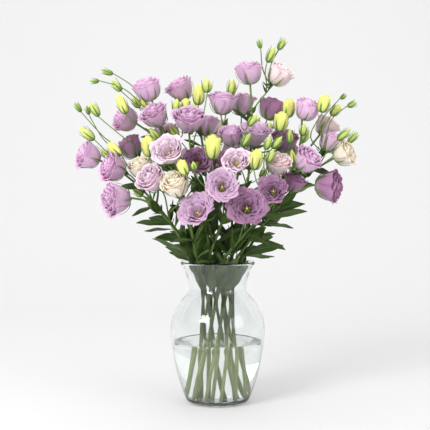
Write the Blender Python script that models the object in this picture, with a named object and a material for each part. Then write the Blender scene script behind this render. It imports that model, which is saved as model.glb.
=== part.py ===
"""Bouquet of lisianthus standing in a clear glass vase with water.

The vase is turned glass with its base on z = 0 and its axis on the world Z axis.
Sixteen cut stems stand in it as a twisted bunch: they cross at the neck and fan
out above the rim. Each stem is one grown piece with its side branches, leaves
and buds, and each flower is a piece of its own on the end of its stalk.
Front is -Y. The arrangement is worked out in millimetres and built in metres.
"""

import math

import bmesh
import bpy
import numpy as np
from mathutils import Vector

MM = 0.001

# Vase
VASE_SEGMENTS = 24
VASE_OUTSIDE = [  # radius, height, from the foot up to the lip
    (36.0, 0.0), (44.0, 1.6), (48.5, 6.5), (54.5, 23.0), (60.0, 39.5), (65.0, 61.5),
    (70.0, 94.0), (71.0, 108.0), (70.0, 120.0), (67.0, 132.0), (58.0, 149.0), (48.5, 160.5),
    (43.8, 168.0), (43.2, 175.0), (45.8, 188.0), (51.4, 202.0), (56.0, 208.5), (55.0, 212.0),
]
VASE_INSIDE = [  # from the lip down to the floor
    (51.5, 210.5), (47.8, 201.0), (42.3, 187.5), (39.9, 175.0), (40.8, 167.5), (46.0, 158.8),
    (55.5, 146.5), (63.8, 131.5), (66.7, 120.0), (67.6, 108.0), (66.7, 94.0), (61.7, 62.0),
    (56.7, 40.5), (51.2, 24.5), (47.5, 13.0), (42.2, 8.0),
]
VASE_LIP = 212.0
WATER_LEVEL = 92.0
WATER_GAP = 0.4          # water to glass and water to stem

# Stems
FOOT_HEIGHT = 8.4        # the cut ends rest just above the vase's floor
WAIST_HEIGHT = 150.0     # the bunch is narrowest here
RIM_HEIGHT = 215.0       # the stems fan out freely above here
RINGS = {                # stems in the ring, waist radius, slope below, curl above
    "outer": (11, 23.0, 0.208, 0.0037),
    "inner": (5, 10.0, 0.163, 0.0026),
}
RING_TURN = {"outer": -97.0, "inner": -111.0}
STEM_RADIUS = (2.4, 2.1, 1.5)     # at the foot, at the rim, under the flower
STALK_RADIUS = (1.25, 1.0)        # a flower's stalk, at the stem and at the flower
BUD_STALK_RADIUS = (0.95, 0.75)
STALK_GAP = 0.3                   # stalk to flower
STALK_NECK = 3.0                  # the last stretch, straight behind the flower
CLEAR = 0.8                       # room sought between the stalks of different stems
LEAST_ROOM = 0.35                 # a bud whose stalk has less room than this isn't grown
STEM_STEPS = 6
STALK_STEPS = 4
BUD_STALK_STEPS = 3

# Leaves
LEAF_NODES = (-34.0, 8.0, 36.0, 66.0, 100.0, 136.0, 172.0)   # along the stem from the rim
LEAF_LENGTH = (58.0, 34.0)        # at the lowest node and at the highest
LEAF_WIDTH = (17.0, 9.0)
LEAF_THICK = 0.9
LEAF_DROOP = math.radians(24.0)
PLACED_LEAVES = [                 # near which point of a stem, tip, width
    ((-41, -15, 218), (-98, -25, 248), 17),
    ((-79, -20, 262), (-121, -35, 271), 12),
    ((88, -15, 266), (133, -30, 288), 13),
    ((49, -10, 220), (98, -25, 237), 16),
    ((98, -20, 272), (124, -30, 297), 12),
    ((20, -10, 222), (-6, -55, 246), 17),
    ((30, 0, 418), (22, -14, 440), 9),
    ((34, 0, 408), (44, -18, 436), 9),
    ((-100, 0, 390), (-116, -10, 414), 9),
]

# Sides and rings of the plain solids
STEM_SIDES = 5
STALK_SIDES = 4
CUTTER_SIDES = 6
CUP_SIDES = 7
CUP_RINGS = [(0.0, 0.15), (0.10, 0.32), (0.42, 0.66), (1.0, 1.0), (0.62, 0.36)]
BUD_RINGS = [(0.16, 0.66), (0.45, 1.0), (0.78, 0.62), (1.0, 0.12)]

# ---------------------------------------------------------------- arrangement
# All lengths of the arrangement are millimetres in the vase's frame: the vase
# stands on z = 0 with its axis on x = y = 0, and -y is the front.
#
# One entry for each flowering stem. slot is its place in the bunch, (ring,
# step round the ring); blooms and buds are what it carries, the leader first.
STEMS = {
    "stem_right_low": dict(slot=("outer", 0), blooms=(16, 17, 36), buds=(32, 50)),
    "stem_right_mid": dict(slot=("outer", 1), blooms=(14, 15), buds=(44, 45, 46, 47)),
    "stem_right_high": dict(slot=("outer", 2), blooms=(12, 13, 41), buds=(40, 41, 42, 43, 51)),
    "stem_back_centre": dict(slot=("outer", 3), blooms=(39, 7), buds=(52, 53)),
    "stem_back_left": dict(slot=("outer", 4), blooms=(42, 40), buds=(54, 55)),
    "stem_left_high": dict(slot=("outer", 5), blooms=(3, 31), buds=(9, 7, 8, 12, 56)),
    "stem_left_mid": dict(slot=("outer", 6), blooms=(29, 28, 27), buds=(10, 11)),
    "stem_left_low": dict(slot=("outer", 7), blooms=(30, 25, 26), buds=(57,)),
    "stem_front_left": dict(slot=("outer", 8), blooms=(24, 22), buds=(13, 14, 35)),
    "stem_front_centre": dict(slot=("outer", 9), blooms=(18, 19), buds=(34, 36)),
    "stem_front_right": dict(slot=("outer", 10), blooms=(21, 20), buds=(33, 29, 30)),
    "stem_upper_left": dict(slot=("inner", 3), blooms=(1, 4), buds=(3, 1, 2, 5, 6, 4, 15)),
    "stem_upper_centre": dict(slot=("inner", 2), blooms=(2, 32, 38), buds=(19, 20, 17, 18, 16)),
    "stem_top": dict(slot=("inner", 1), blooms=(9, 10, 6), buds=(24, 25, 23, 22, 28)),
    "stem_right_upper": dict(slot=("inner", 0), blooms=(11, 8, 35, 34), buds=(39, 31, 37, 38, 26, 27)),
    "stem_centre": dict(slot=("inner", 4), blooms=(5, 33, 23, 37), buds=(21,)),
}

# Blooms: middle of the flower, the way that it faces, width across the rim,
# how far it is open from 0 to 1, and its tint.
BLOOMS = {
    1: ((-104, 0, 468), (-35, -25, 100), 38, .35, "lilac"),
    2: ((-55, 25, 470), (-50, -20, 80), 41, .5, "lilac"),
    3: ((-138, 25, 426), (-70, -30, 30), 38, .4, "lilac"),
    4: ((-91, -25, 427), (-45, -50, 75), 40, .5, "lilac"),
    5: ((-42, -35, 419), (0, -50, 85), 45, .55, "lilac"),
    6: ((7, -3, 447), (10, -20, 100), 40, .5, "lilac"),
    7: ((37, 55, 450), (0, 10, 100), 40, .5, "lilac"),
    8: ((82, 45, 442), (35, 10, 90), 39, .45, "mauve"),
    9: ((47, -5, 492), (-10, -15, 100), 39, .45, "lilac"),
    10: ((91, 5, 490), (55, -15, 80), 36, .4, "blush"),
    11: ((133, 2, 438), (35, -20, 90), 34, .3, "lilac"),
    12: ((166, 40, 415), (60, 10, 75), 35, .45, "blush"),
    13: ((171, 20, 390), (45, 0, 90), 35, .4, "lilac"),
    14: ((186, -15, 372), (75, -35, 35), 36, .45, "cream"),
    15: ((128, -45, 361), (50, -45, 55), 38, .4, "lilac"),
    16: ((161, -30, 325), (90, -30, -5), 46, .5, "mauve"),
    17: ((86, -60, 354), (10, -50, 80), 37, .5, "blush"),
    18: ((27, -75, 357), (-10, -80, 55), 38, .6, "pink"),
    19: ((6, -100, 323), (3, -100, 30), 45, .85, "lilac"),
    20: ((41, -95, 293), (5, -95, 35), 56, .95, "mauve"),
    21: ((79, -83, 317), (-15, -90, 40), 42, .8, "mauve"),
    22: ((-28, -80, 286), (-30, -75, 60), 54, .85, "lilac"),
    23: ((-30, -40, 358), (10, -85, 40), 41, .7, "mauve"),
    24: ((-69, -75, 371), (-25, -75, 60), 46, .65, "pink"),
    25: ((-94, -55, 333), (-50, -60, 55), 43, .55, "pink"),
    26: ((-59, -75, 325), (-30, -60, 70), 37, .35, "cream"),
    27: ((-114, -5, 351), (-30, -40, 80), 34, .4, "cream"),
    28: ((-153, -15, 351), (-75, -45, 30), 40, .4, "lilac"),
    29: ((-191, -5, 369), (-85, -30, 35), 40, .45, "lilac"),
    30: ((-146, -35, 306), (-85, -45, -5), 48, .5, "lilac"),
    31: ((-134, 45, 383), (-50, 0, 70), 39, .45, "mauve"),
    32: ((-77, 45, 405), (-20, -10, 100), 34, .45, "lilac"),
    33: ((21, -10, 399), (-10, -35, 90), 34, .45, "lilac"),
    34: ((55, -29, 398), (10, -40, 90), 47, .7, "lilac"),
    35: ((101, 15, 392), (10, -30, 80), 39, .5, "mauve"),
    36: ((113, -15, 328), (30, -20, 70), 31, .35, "mauve"),
    37: ((-1, 5, 356), (0, -70, 50), 36, .6, "mauve"),
    38: ((-18, 50, 417), (0, 0, 100), 37, .5, "lilac"),
    39: ((30, 120, 371), (10, 80, 60), 49, .7, "lilac"),
    40: ((-60, 110, 359), (-30, 75, 60), 45, .6, "pink"),
    41: ((108, 105, 367), (50, 70, 50), 45, .6, "mauve"),
    42: ((-4, 120, 408), (0, 60, 90), 45, .5, "blush"),
}

# Buds: base, tip, thickness and colour, green where tight and pale where
# the petals are swelling open.
BUDS = {
    1: ((-158, 10, 494), (-176, 10, 500), 8, "green"),
    2: ((-178, 0, 482), (-192, 0, 482), 7, "green"),
    3: ((-145, 5, 468), (-160, 5, 484), 12, "green"),
    4: ((-136, -10, 433), (-148, -10, 459), 16, "pale"),
    5: ((-120, 30, 445), (-129, 30, 463), 14, "green"),
    6: ((-103, 30, 439), (-116, 30, 456), 14, "pale"),
    7: ((-204, -5, 436), (-214, -5, 450), 7, "green"),
    8: ((-192, -5, 432), (-196, -5, 445), 6, "green"),
    9: ((-177, -10, 429), (-190, -10, 450), 13, "green"),
    10: ((-184, -10, 394), (-207, -10, 413), 15, "green"),
    11: ((-161, 0, 366), (-175, 0, 381), 12, "green"),
    12: ((-143, -20, 370), (-161, -20, 388), 16, "pale"),
    13: ((-112, -15, 374), (-128, -15, 395), 15, "green"),
    14: ((-100, -20, 368), (-104, -20, 398), 24, "pale"),
    15: ((-87, -20, 394), (-101, -20, 411), 12, "green"),
    16: ((-59, -5, 397), (-72, -5, 416), 13, "green"),
    17: ((-62, 0, 433), (-61, 0, 456), 15, "green"),
    18: ((-50, 7, 437), (-47, 7, 456), 17, "pale"),
    19: ((-31, 0, 476), (-38, 0, 491), 8, "green"),
    20: ((-29, -5, 446), (-28, -5, 475), 21, "pale"),
    21: ((-16, -10, 464), (-16, -10, 486), 16, "green"),
    22: ((19, 17, 461), (24, 17, 487), 16, "green"),
    23: ((64, 0, 531), (61, 0, 545), 6, "green"),
    24: ((74, -10, 509), (85, -10, 532), 13, "green"),
    25: ((91, 0, 529), (101, 0, 546), 10, "green"),
    26: ((37, -47, 411), (46, -47, 438), 13, "green"),
    27: ((44, -56, 412), (57, -56, 428), 12, "green"),
    28: ((35, -62, 382), (47, -62, 401), 11, "green"),
    29: ((68, -75, 377), (75, -75, 396), 11, "green"),
    30: ((78, -70, 379), (92, -70, 396), 11, "green"),
    31: ((105, -45, 387), (105, -45, 409), 10, "green"),
    32: ((71, -85, 359), (79, -85, 377), 12, "green"),
    33: ((52, -85, 348), (56, -85, 376), 21, "pale"),
    34: ((-8, -70, 363), (-7, -70, 397), 27, "pale"),
    35: ((-44, -95, 341), (-54, -95, 361), 17, "pale"),
    36: ((-33, -90, 347), (-35, -90, 360), 10, "green"),
    37: ((91, -25, 405), (95, -25, 433), 24, "pale"),
    38: ((75, -15, 405), (78, -15, 420), 13, "green"),
    39: ((107, 20, 429), (109, 20, 456), 21, "pale"),
    40: ((154, -18, 434), (160, -18, 459), 21, "pale"),
    41: ((171, 5, 431), (183, 5, 446), 14, "pale"),
    42: ((184, 0, 456), (193, 0, 462), 5, "green"),
    43: ((194, -5, 444), (208, -5, 450), 8, "green"),
    44: ((176, -30, 393), (196, -30, 409), 11, "green"),
    45: ((196, 3, 390), (211, 3, 406), 10, "green"),
    46: ((111, -50, 357), (107, -50, 378), 12, "green"),
    47: ((126, -10, 400), (129, -10, 418), 13, "green"),
    50: ((125, 30, 318), (140, 42, 333), 12, "green"),
    51: ((135, 100, 395), (148, 112, 415), 12, "green"),
    52: ((60, 115, 415), (68, 125, 437), 13, "green"),
    53: ((70, 125, 340), (80, 142, 354), 11, "green"),
    54: ((-35, 128, 440), (-40, 136, 462), 13, "green"),
    55: ((-80, 118, 398), (-93, 130, 416), 16, "pale"),
    56: ((-100, 80, 420), (-110, 90, 442), 13, "green"),
    57: ((-115, 30, 310), (-132, 38, 324), 13, "green"),
}


def unit(vector):
    vector = np.asarray(vector, dtype=float)
    return vector / np.linalg.norm(vector)


def across(axis):
    """Two directions square to axis and to each other."""
    side = np.cross((0.0, 0.0, 1.0), axis)
    if np.linalg.norm(side) < 0.05:
        side = np.array((1.0, 0.0, 0.0))
    side = unit(side - axis * np.dot(side, axis))
    return side, np.cross(axis, side)


def bezier(start, pull_start, pull_end, end, steps):
    t = np.linspace(0.0, 1.0, steps + 1)[:, None]
    return ((1 - t) ** 3 * start + 3 * (1 - t) ** 2 * t * pull_start
            + 3 * (1 - t) * t ** 2 * pull_end + t ** 3 * end)


def fine(path, radii, step):
    """The same broken line with points no more than step apart."""
    points, sizes = [path[0]], [radii[0]]
    for a, b, ra, rb in zip(path[:-1], path[1:], radii[:-1], radii[1:]):
        count = max(1, math.ceil(np.linalg.norm(b - a) / step))
        for k in range(1, count + 1):
            points.append(a + (b - a) * k / count)
            sizes.append(ra + (rb - ra) * k / count)
    return np.array(points), np.array(sizes)


def profile_radius(profile, height):
    heights = [h for r, h in profile]
    radii = [r for r, h in profile]
    if heights[0] > heights[-1]:
        heights, radii = heights[::-1], radii[::-1]
    return np.interp(height, heights, radii)


# A flower's outline as (part of its length, part of its rim radius).
CUP = [(0.0, 0.15), (0.10, 0.32), (0.35, 0.60), (0.70, 0.85), (1.0, 1.0)]
BUD = [(0.0, 0.25), (0.20, 0.75), (0.45, 1.0), (0.75, 0.70), (1.0, 0.12)]


def flower_pose(number):
    """Base point, axis, length and rim radius of a flower."""
    middle, facing, width, opened, tint = BLOOMS[number]
    axis = unit(facing)
    length = width * (1.02 - 0.5 * opened)
    return np.array(middle) - axis * length / 2, axis, length, width / 2


class Thicket:
    """What has been placed so far, as balls that each have an owner."""

    def __init__(self):
        self.balls = np.zeros((0, 5))
        poses = [flower_pose(number) for number in BLOOMS]
        self.numbers = list(BLOOMS)
        self.bases = np.array([pose[0] for pose in poses])
        self.axes = np.array([pose[1] for pose in poses])
        self.lengths = np.array([pose[2] for pose in poses])
        self.rims = np.array([pose[3] for pose in poses])

    def add(self, points, radii, owner):
        rows = np.column_stack([points, radii, np.full(len(points), owner)])
        self.balls = np.vstack([self.balls, rows])

    def room(self, points, radii, skip_owners=(), skip_flower=None, own=None, root=None):
        """Least clearance of a row of balls from everything that isn't skipped."""
        low = points.min(axis=0) - 12.0
        high = points.max(axis=0) + 12.0
        balls = self.balls
        keep = np.all((balls[:, :3] > low) & (balls[:, :3] < high), axis=1)
        for owner in skip_owners:
            keep &= balls[:, 4] != owner
        balls = balls[keep]
        if own is not None and len(balls):
            at_root = np.linalg.norm(balls[:, :3] - root, axis=1) < 9.0
            balls = balls[~((balls[:, 4] == own) & at_root)]
        least = 99.0
        if len(balls):
            apart = np.linalg.norm(points[:, None] - balls[None, :, :3], axis=2)
            least = float((apart - radii[:, None] - balls[None, :, 3]).min())
        offset = points[:, None] - self.bases[None]
        along = np.einsum("ijk,jk->ij", offset, self.axes)
        out = np.sqrt(np.maximum(np.sum(offset ** 2, axis=2) - along ** 2, 0.0))
        share = np.clip(along / self.lengths, 0.0, 1.0)
        wall = np.interp(share, [c[0] for c in CUP], [c[1] for c in CUP]) * self.rims
        away = np.maximum(np.maximum(out - wall, -along), along - self.lengths)
        if skip_flower is not None:
            away[:, self.numbers.index(skip_flower)] = 99.0
        return min(least, float((away - radii[:, None]).min()))


def glass_room(points, radius):
    """Least clearance inside the vase's wall, for points below the lip."""
    out = np.hypot(points[:, 0], points[:, 1])
    room = profile_radius(VASE_INSIDE, points[:, 2]) - out - radius
    return float(np.where(points[:, 2] < VASE_LIP + 2.0, room, 99.0).min())


def bunch_point(slot, height):
    """Where a stem of the bunch crosses a height."""
    ring, step = slot
    count, waist, slope, curl = RINGS[ring]
    angle = math.radians(RING_TURN[ring] + 360.0 * step / count)
    rise = height - WAIST_HEIGHT
    swing = slope * rise + curl * max(0.0, rise) ** 2
    outward = np.array((math.cos(angle), math.sin(angle), 0.0))
    sideways = np.array((-math.sin(angle), math.cos(angle), 0.0))
    return outward * waist + sideways * swing + np.array((0.0, 0.0, height))


def stem_path(name, thicket):
    """The main stem, from its cut foot to its leading flower."""
    slot = STEMS[name]["slot"]
    heights = [FOOT_HEIGHT, WAIST_HEIGHT, 183.0, RIM_HEIGHT]
    lower = np.array([bunch_point(slot, height) for height in heights])
    heading = unit(bunch_point(slot, RIM_HEIGHT) - bunch_point(slot, RIM_HEIGHT - 1.0))
    leader = STEMS[name]["blooms"][0]
    base, axis, length, rim = flower_pose(leader)
    tip = base - axis * STALK_GAP
    end = tip - axis * STALK_NECK
    span = np.linalg.norm(end - lower[-1])
    side, up = across(unit(end - lower[-1]))
    best = None
    for push in (0.0, 8.0, -8.0, 16.0, -16.0, 26.0, -26.0):
        for way in (side, up):
            for pull_a, pull_b in ((0.35, 0.3), (0.5, 0.2), (0.3, 0.45), (0.2, 0.2), (0.6, 0.35)):
                upper = bezier(lower[-1], lower[-1] + heading * span * pull_a + way * push,
                               end - axis * span * pull_b + way * push, end, STEM_STEPS)
                path = np.vstack([lower, upper[1:], tip])
                low = np.interp(heights, [FOOT_HEIGHT, RIM_HEIGHT], STEM_RADIUS[:2])
                high = np.linspace(STEM_RADIUS[1], STEM_RADIUS[2], STEM_STEPS + 1)
                radii = np.concatenate([low, high[1:], high[-1:]])
                points, sizes = fine(path, radii, 2.5)
                room = min(thicket.room(points, sizes, skip_flower=leader), glass_room(points, 2.5))
                if best is None or room > best[0]:
                    best = (room, path, radii, points, sizes)
                if room > CLEAR:
                    return best
    return best


STALK_BENDS = [  # pull at the fork, pull at the flower, sideways bulge, as parts of the span
    (0.33, 0.33, 0.0), (0.25, 0.5, 0.0), (0.45, 0.22, 0.0), (0.15, 0.2, 0.0), (0.3, 0.7, 0.0),
    (0.33, 0.33, 0.2), (0.33, 0.33, -0.2), (0.3, 0.5, 0.4), (0.3, 0.5, -0.4),
]


def branch_path(trunks, tip, axis, radii_ends, steps, thicket, own, flower=None, bud_owner=None):
    """A stalk that leaves one of the stem's trunks and ends at tip, along axis."""
    end = tip - axis * STALK_NECK
    tries = []
    for trunk_number, (trunk, sizes) in enumerate(trunks):
        top = len(trunk) - (3 if trunk_number == 0 else 2)
        for k in range(1, top + 1):
            for part in (0.0, 0.5):
                if k == top and part:
                    continue
                root = trunk[k] * (1 - part) + trunk[k + 1] * part
                if root[2] < RIM_HEIGHT + 12.0:
                    continue
                reach = end - root
                span = np.linalg.norm(reach)
                if span < 16.0:
                    continue
                grain = unit(trunk[k + 1] - trunk[k])
                fork = math.degrees(math.acos(np.clip(np.dot(grain, reach) / span, -1, 1)))
                turn = math.degrees(math.acos(np.clip(np.dot(axis, reach) / span, -1, 1)))
                cost = span + 0.9 * abs(fork - 28.0) + 0.7 * max(0.0, turn - 35.0)
                cost += 25.0 * (span < 30.0)
                tries.append((cost, len(tries), root, grain, reach, span))
    tries.sort(key=lambda item: item[:2])
    best = None
    for cost, order, root, grain, reach, span in tries[:60]:
        heading = unit(grain * 0.7 + unit(reach))
        side = across(unit(reach))[0] * span
        for pull_a, pull_b, push in STALK_BENDS:
            path = bezier(root, root + heading * span * pull_a + side * push,
                          end - axis * span * pull_b + side * push * 0.6, end, steps)
            path = np.vstack([path, tip])
            radii = np.append(np.linspace(radii_ends[0], radii_ends[1], steps + 1), radii_ends[1])
            points, sizes = fine(path, radii, 2.5)
            skip = (own,) if bud_owner is None else (own, bud_owner)
            room = thicket.room(points, sizes, skip_owners=skip, skip_flower=flower)
            if best is None or room > best[0]:
                best = (room, path, radii, points, sizes)
            if room > CLEAR:
                return best
    return best


def bud_balls(number):
    base, tip, thick, colour = BUDS[number]
    base, tip = np.array(base, dtype=float), np.array(tip, dtype=float)
    parts = np.linspace(0.0, 1.0, 7)
    points = base + (tip - base) * parts[:, None]
    radii = np.interp(parts, [p[0] for p in BUD], [p[1] for p in BUD]) * thick / 2
    return points, radii


def leaf_spine(root, grain, outward, length, tilt, droop, steps):
    """Middle line of a leaf and the direction across it."""
    heading = unit(grain * math.cos(tilt) + outward * math.sin(tilt))
    further = unit(grain * math.cos(tilt + droop) + outward * math.sin(tilt + droop))
    t = np.linspace(0.0, 1.0, steps + 1)[:, None]
    knee = root + heading * length * 0.5
    end = knee + further * length * 0.5
    spine = (1 - t) ** 2 * root + 2 * (1 - t) * t * knee + t ** 2 * end
    return spine, unit(np.cross(grain, outward))


LEAF_OUTLINE = [(0.0, 0.16), (0.12, 0.42), (0.38, 1.0), (0.7, 0.72), (1.0, 0.05)]


def leaf_balls(spine, crosswise, width):
    parts = np.linspace(0.0, 1.0, len(spine))
    halves = np.interp(parts, [p[0] for p in LEAF_OUTLINE], [p[1] for p in LEAF_OUTLINE]) * width / 2
    rows = [spine + crosswise * halves[:, None] * f for f in (-1.0, -0.5, 0.0, 0.5, 1.0)]
    return np.vstack(rows)


def leaf_pair(root, grain, azimuth, length, width, tilt, thicket, own):
    """Up to two leaves that face each other across the stem."""
    side, up = across(grain)
    found = []
    for half in (0.0, math.pi):
        done = False
        for shrink in (1.0, 0.8, 0.62):
            for turn in (0.0, 22.0, -22.0, 44.0, -44.0):
                for lean in (0.0, -16.0, 18.0):
                    angle = azimuth + half + math.radians(turn)
                    outward = side * math.cos(angle) + up * math.sin(angle)
                    spine, crosswise = leaf_spine(root, grain, outward, length * shrink,
                                                  math.radians(tilt + lean), LEAF_DROOP, 12)
                    points = leaf_balls(spine, crosswise, width * shrink)
                    sizes = np.full(len(points), 0.6)
                    if glass_room(points, 1.2) < 0.0:
                        continue
                    room = thicket.room(points, sizes, own=own, root=root)
                    if room > 1.6:
                        found.append((root, grain, outward, length * shrink, width * shrink,
                                      math.radians(tilt + lean)))
                        thicket.add(points, sizes + 0.2, own)
                        done = True
                        break
                if done:
                    break
            if done:
                break
    return found


def place_leaf(grown, names, thicket, hint, tip, width):
    """One leaf towards tip, from the trunk that passes nearest to hint."""
    best = None
    for name in names:
        path = grown[name]["trunks"][0][0]
        points, sizes = fine(path, np.ones(len(path)), 4.0)
        gap = np.linalg.norm(points - hint, axis=1)
        k = min(int(gap.argmin()), len(points) - 2)
        if best is None or gap[k] < best[0]:
            best = (gap[k], name, points[k], unit(points[k + 1] - points[k]))
    gap, name, root, grain = best
    own = names.index(name)
    for lift in (0.0, 8.0, -8.0, 16.0, -16.0):
        for swing in (0.0, 10.0, -10.0, 20.0, -20.0):
            reach = tip + np.array((0.0, swing, lift)) - root
            length = np.linalg.norm(reach)
            along = np.dot(reach, grain)
            outward = unit(reach - grain * along)
            tilt = math.acos(along / length) - LEAF_DROOP * 0.5
            spine, crosswise = leaf_spine(root, grain, outward, length, tilt, LEAF_DROOP, 12)
            points = leaf_balls(spine, crosswise, width)
            sizes = np.full(len(points), 0.6)
            if glass_room(points, 1.2) < 0.0:
                continue
            if thicket.room(points, sizes, own=own, root=root) > 1.6:
                grown[name]["leaves"].append((root, grain, outward, length, width, tilt))
                thicket.add(points, sizes + 0.2, own)
                return


def grow_leaves(stem, thicket, own):
    """Pairs of leaves up the trunk, each pair square to the pair below."""
    path = stem["trunks"][0][0]
    points, sizes = fine(path, np.ones(len(path)), 3.0)
    steps = np.linalg.norm(np.diff(points, axis=0), axis=1)
    run = np.concatenate([[0.0], np.cumsum(steps)])
    rim = float(np.interp(RIM_HEIGHT, points[:8 + len(points) // 2, 2], run[:8 + len(points) // 2]))
    turn = own * 0.9
    for k, distance in enumerate(LEAF_NODES):
        at = rim + distance
        if at > run[-1] - 34.0:
            break
        index = int(np.searchsorted(run, at))
        grain = unit(points[index + 1] - points[index])
        share = k / (len(LEAF_NODES) - 1)
        length = LEAF_LENGTH[0] + (LEAF_LENGTH[1] - LEAF_LENGTH[0]) * share
        width = LEAF_WIDTH[0] + (LEAF_WIDTH[1] - LEAF_WIDTH[0]) * share
        tilt = 26.0 if distance < 0 else 44.0
        stem["leaves"] += leaf_pair(points[index], grain, turn + k * math.pi / 2, length, width,
                                    tilt, thicket, own)


def arrange():
    """Every stem's trunk, stalks, buds and leaves, in millimetres."""
    thicket = Thicket()
    names = list(STEMS)
    grown = {name: {"trunks": [], "buds": [], "leaves": []} for name in names}
    for name in names:
        room, path, radii, points, sizes = stem_path(name, thicket)
        grown[name]["trunks"].append((path, radii))
        thicket.add(points, sizes, names.index(name))
    bud_owner = {}
    for name in names:
        for number in STEMS[name]["buds"]:
            bud_owner[number] = 100 + number
            thicket.add(*bud_balls(number), 100 + number)
    for name in names:
        own = names.index(name)
        for number in STEMS[name]["blooms"][1:]:
            base, axis, length, rim = flower_pose(number)
            tip = base - axis * STALK_GAP
            found = branch_path(grown[name]["trunks"], tip, axis, STALK_RADIUS, STALK_STEPS,
                                thicket, own, flower=number)
            grown[name]["trunks"].append((found[1], found[2]))
            thicket.add(found[3], found[4], own)
    for name in names:
        own = names.index(name)
        for number in STEMS[name]["buds"]:
            base, tip, thick, colour = BUDS[number]
            axis = unit(np.array(tip, dtype=float) - base)
            found = branch_path(grown[name]["trunks"], np.array(base, dtype=float), axis,
                                BUD_STALK_RADIUS, BUD_STALK_STEPS, thicket, own,
                                bud_owner=bud_owner[number])
            if found[0] < LEAST_ROOM:
                thicket.balls = thicket.balls[thicket.balls[:, 4] != bud_owner[number]]
                continue
            grown[name]["buds"].append((number, found[1], found[2]))
            thicket.add(found[3], found[4], own)
            thicket.balls[thicket.balls[:, 4] == bud_owner[number], 4] = own
    for root_hint, tip, width in PLACED_LEAVES:
        place_leaf(grown, names, thicket, np.array(root_hint, dtype=float),
                   np.array(tip, dtype=float), width)
    for name in names:
        grow_leaves(grown[name], thicket, names.index(name))
    return grown


# ------------------------------------------------------------------ materials
def material(name, colour, roughness, transmission=0.0, ior=1.45):
    made = bpy.data.materials.new(name)
    made.use_nodes = True
    shader = made.node_tree.nodes["Principled BSDF"]
    shader.inputs["Base Color"].default_value = (*colour, 1.0)
    shader.inputs["Roughness"].default_value = roughness
    shader.inputs["Metallic"].default_value = 0.0
    shader.inputs["Transmission Weight"].default_value = transmission
    shader.inputs["IOR"].default_value = ior
    made.diffuse_color = (*colour, 1.0)
    return made


PETAL_COLOURS = {
    "lilac": (0.60, 0.45, 0.68), "mauve": (0.45, 0.27, 0.52), "pink": (0.78, 0.60, 0.68),
    "blush": (0.82, 0.68, 0.66), "cream": (0.84, 0.80, 0.68),
}


# -------------------------------------------------------------------- shapes
def ring_of(bm, centre, side, up, radius, count, start=0.0):
    ring = []
    for k in range(count):
        angle = start + 2.0 * math.pi * k / count
        point = centre + side * radius * math.cos(angle) + up * radius * math.sin(angle)
        ring.append(bm.verts.new(Vector(point * MM)))
    return ring


def bridge(bm, lower, upper):
    count = len(lower)
    for k in range(count):
        after = (k + 1) % count
        bm.faces.new((lower[k], lower[after], upper[after], upper[k]))


def finished(name, bm, made_of):
    """The mesh as an object, in triangles and with its faces pointing out."""
    bmesh.ops.triangulate(bm, faces=bm.faces[:])
    bmesh.ops.recalc_face_normals(bm, faces=bm.faces[:])
    mesh = bpy.data.meshes.new(name)
    bm.to_mesh(mesh)
    bm.free()
    if made_of is not None:
        mesh.materials.append(made_of)
    thing = bpy.data.objects.new(name, mesh)
    bpy.context.scene.collection.objects.link(thing)
    return thing


def tube(name, path, radii, sides, made_of=None):
    """A closed tube along a broken line, with a radius at each point."""
    bm = bmesh.new()
    rings = []
    side, up = across(unit(path[1] - path[0]))
    for k, (point, radius) in enumerate(zip(path, radii)):
        before = path[max(k - 1, 0)]
        after = path[min(k + 1, len(path) - 1)]
        along = unit(after - before)
        side = unit(side - along * np.dot(side, along))
        up = np.cross(along, side)
        rings.append(ring_of(bm, point, side, up, radius, sides))
    for lower, upper in zip(rings[:-1], rings[1:]):
        bridge(bm, lower, upper)
    bm.faces.new(rings[0][::-1])
    bm.faces.new(rings[-1])
    return finished(name, bm, made_of)


def turned(name, profile, segments, made_of):
    """A closed solid turned about Z; a profile that starts and ends off the axis is capped flat."""
    bm = bmesh.new()
    side, up = np.array((1.0, 0.0, 0.0)), np.array((0.0, 1.0, 0.0))
    rings = [ring_of(bm, np.array((0.0, 0.0, z)), side, up, r, segments) for r, z in profile]
    for lower, upper in zip(rings[:-1], rings[1:]):
        bridge(bm, lower, upper)
    bm.faces.new(rings[0][::-1])
    bm.faces.new(rings[-1])
    return finished(name, bm, made_of)


def flower_body(number, made_of):
    """A cup on its calyx: the outline of the petals, with the throat sunk in."""
    base, axis, length, rim = flower_pose(number)
    side, up = across(axis)
    bm = bmesh.new()
    rings = []
    for part, share in CUP_RINGS:
        rings.append(ring_of(bm, base + axis * length * part, side, up, rim * share, CUP_SIDES))
    for lower, upper in zip(rings[:-1], rings[1:]):
        bridge(bm, lower, upper)
    bm.faces.new(rings[0][::-1])
    bm.faces.new(rings[-1])
    return finished("bloom_%02d" % number, bm, made_of)


def leaf_body(root, grain, outward, length, width, tilt):
    """A thin keeled blade from the middle of the stem to the leaf's tip."""
    spine, crosswise = leaf_spine(root, grain, outward, length, tilt, LEAF_DROOP, 12)
    parts = np.linspace(0.0, 1.0, 13)
    bm = bmesh.new()
    rings = []
    for part, share in LEAF_OUTLINE[:1] + LEAF_OUTLINE[2:]:
        point = np.array([np.interp(part, parts, spine[:, axis]) for axis in range(3)])
        k = min(max(int(round(part * 12)), 1), 11)
        under = unit(np.cross(crosswise, spine[k + 1] - spine[k - 1]))
        half = crosswise * share * width / 2
        thick = LEAF_THICK * max(share, 0.5)
        corners = (point - half, point + half, point - under * thick)
        rings.append([bm.verts.new(Vector(corner * MM)) for corner in corners])
    for lower, upper in zip(rings[:-1], rings[1:]):
        bridge(bm, lower, upper)
    bm.faces.new(rings[0][::-1])
    bm.faces.new(rings[-1])
    return finished("leaf", bm, None)


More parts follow.
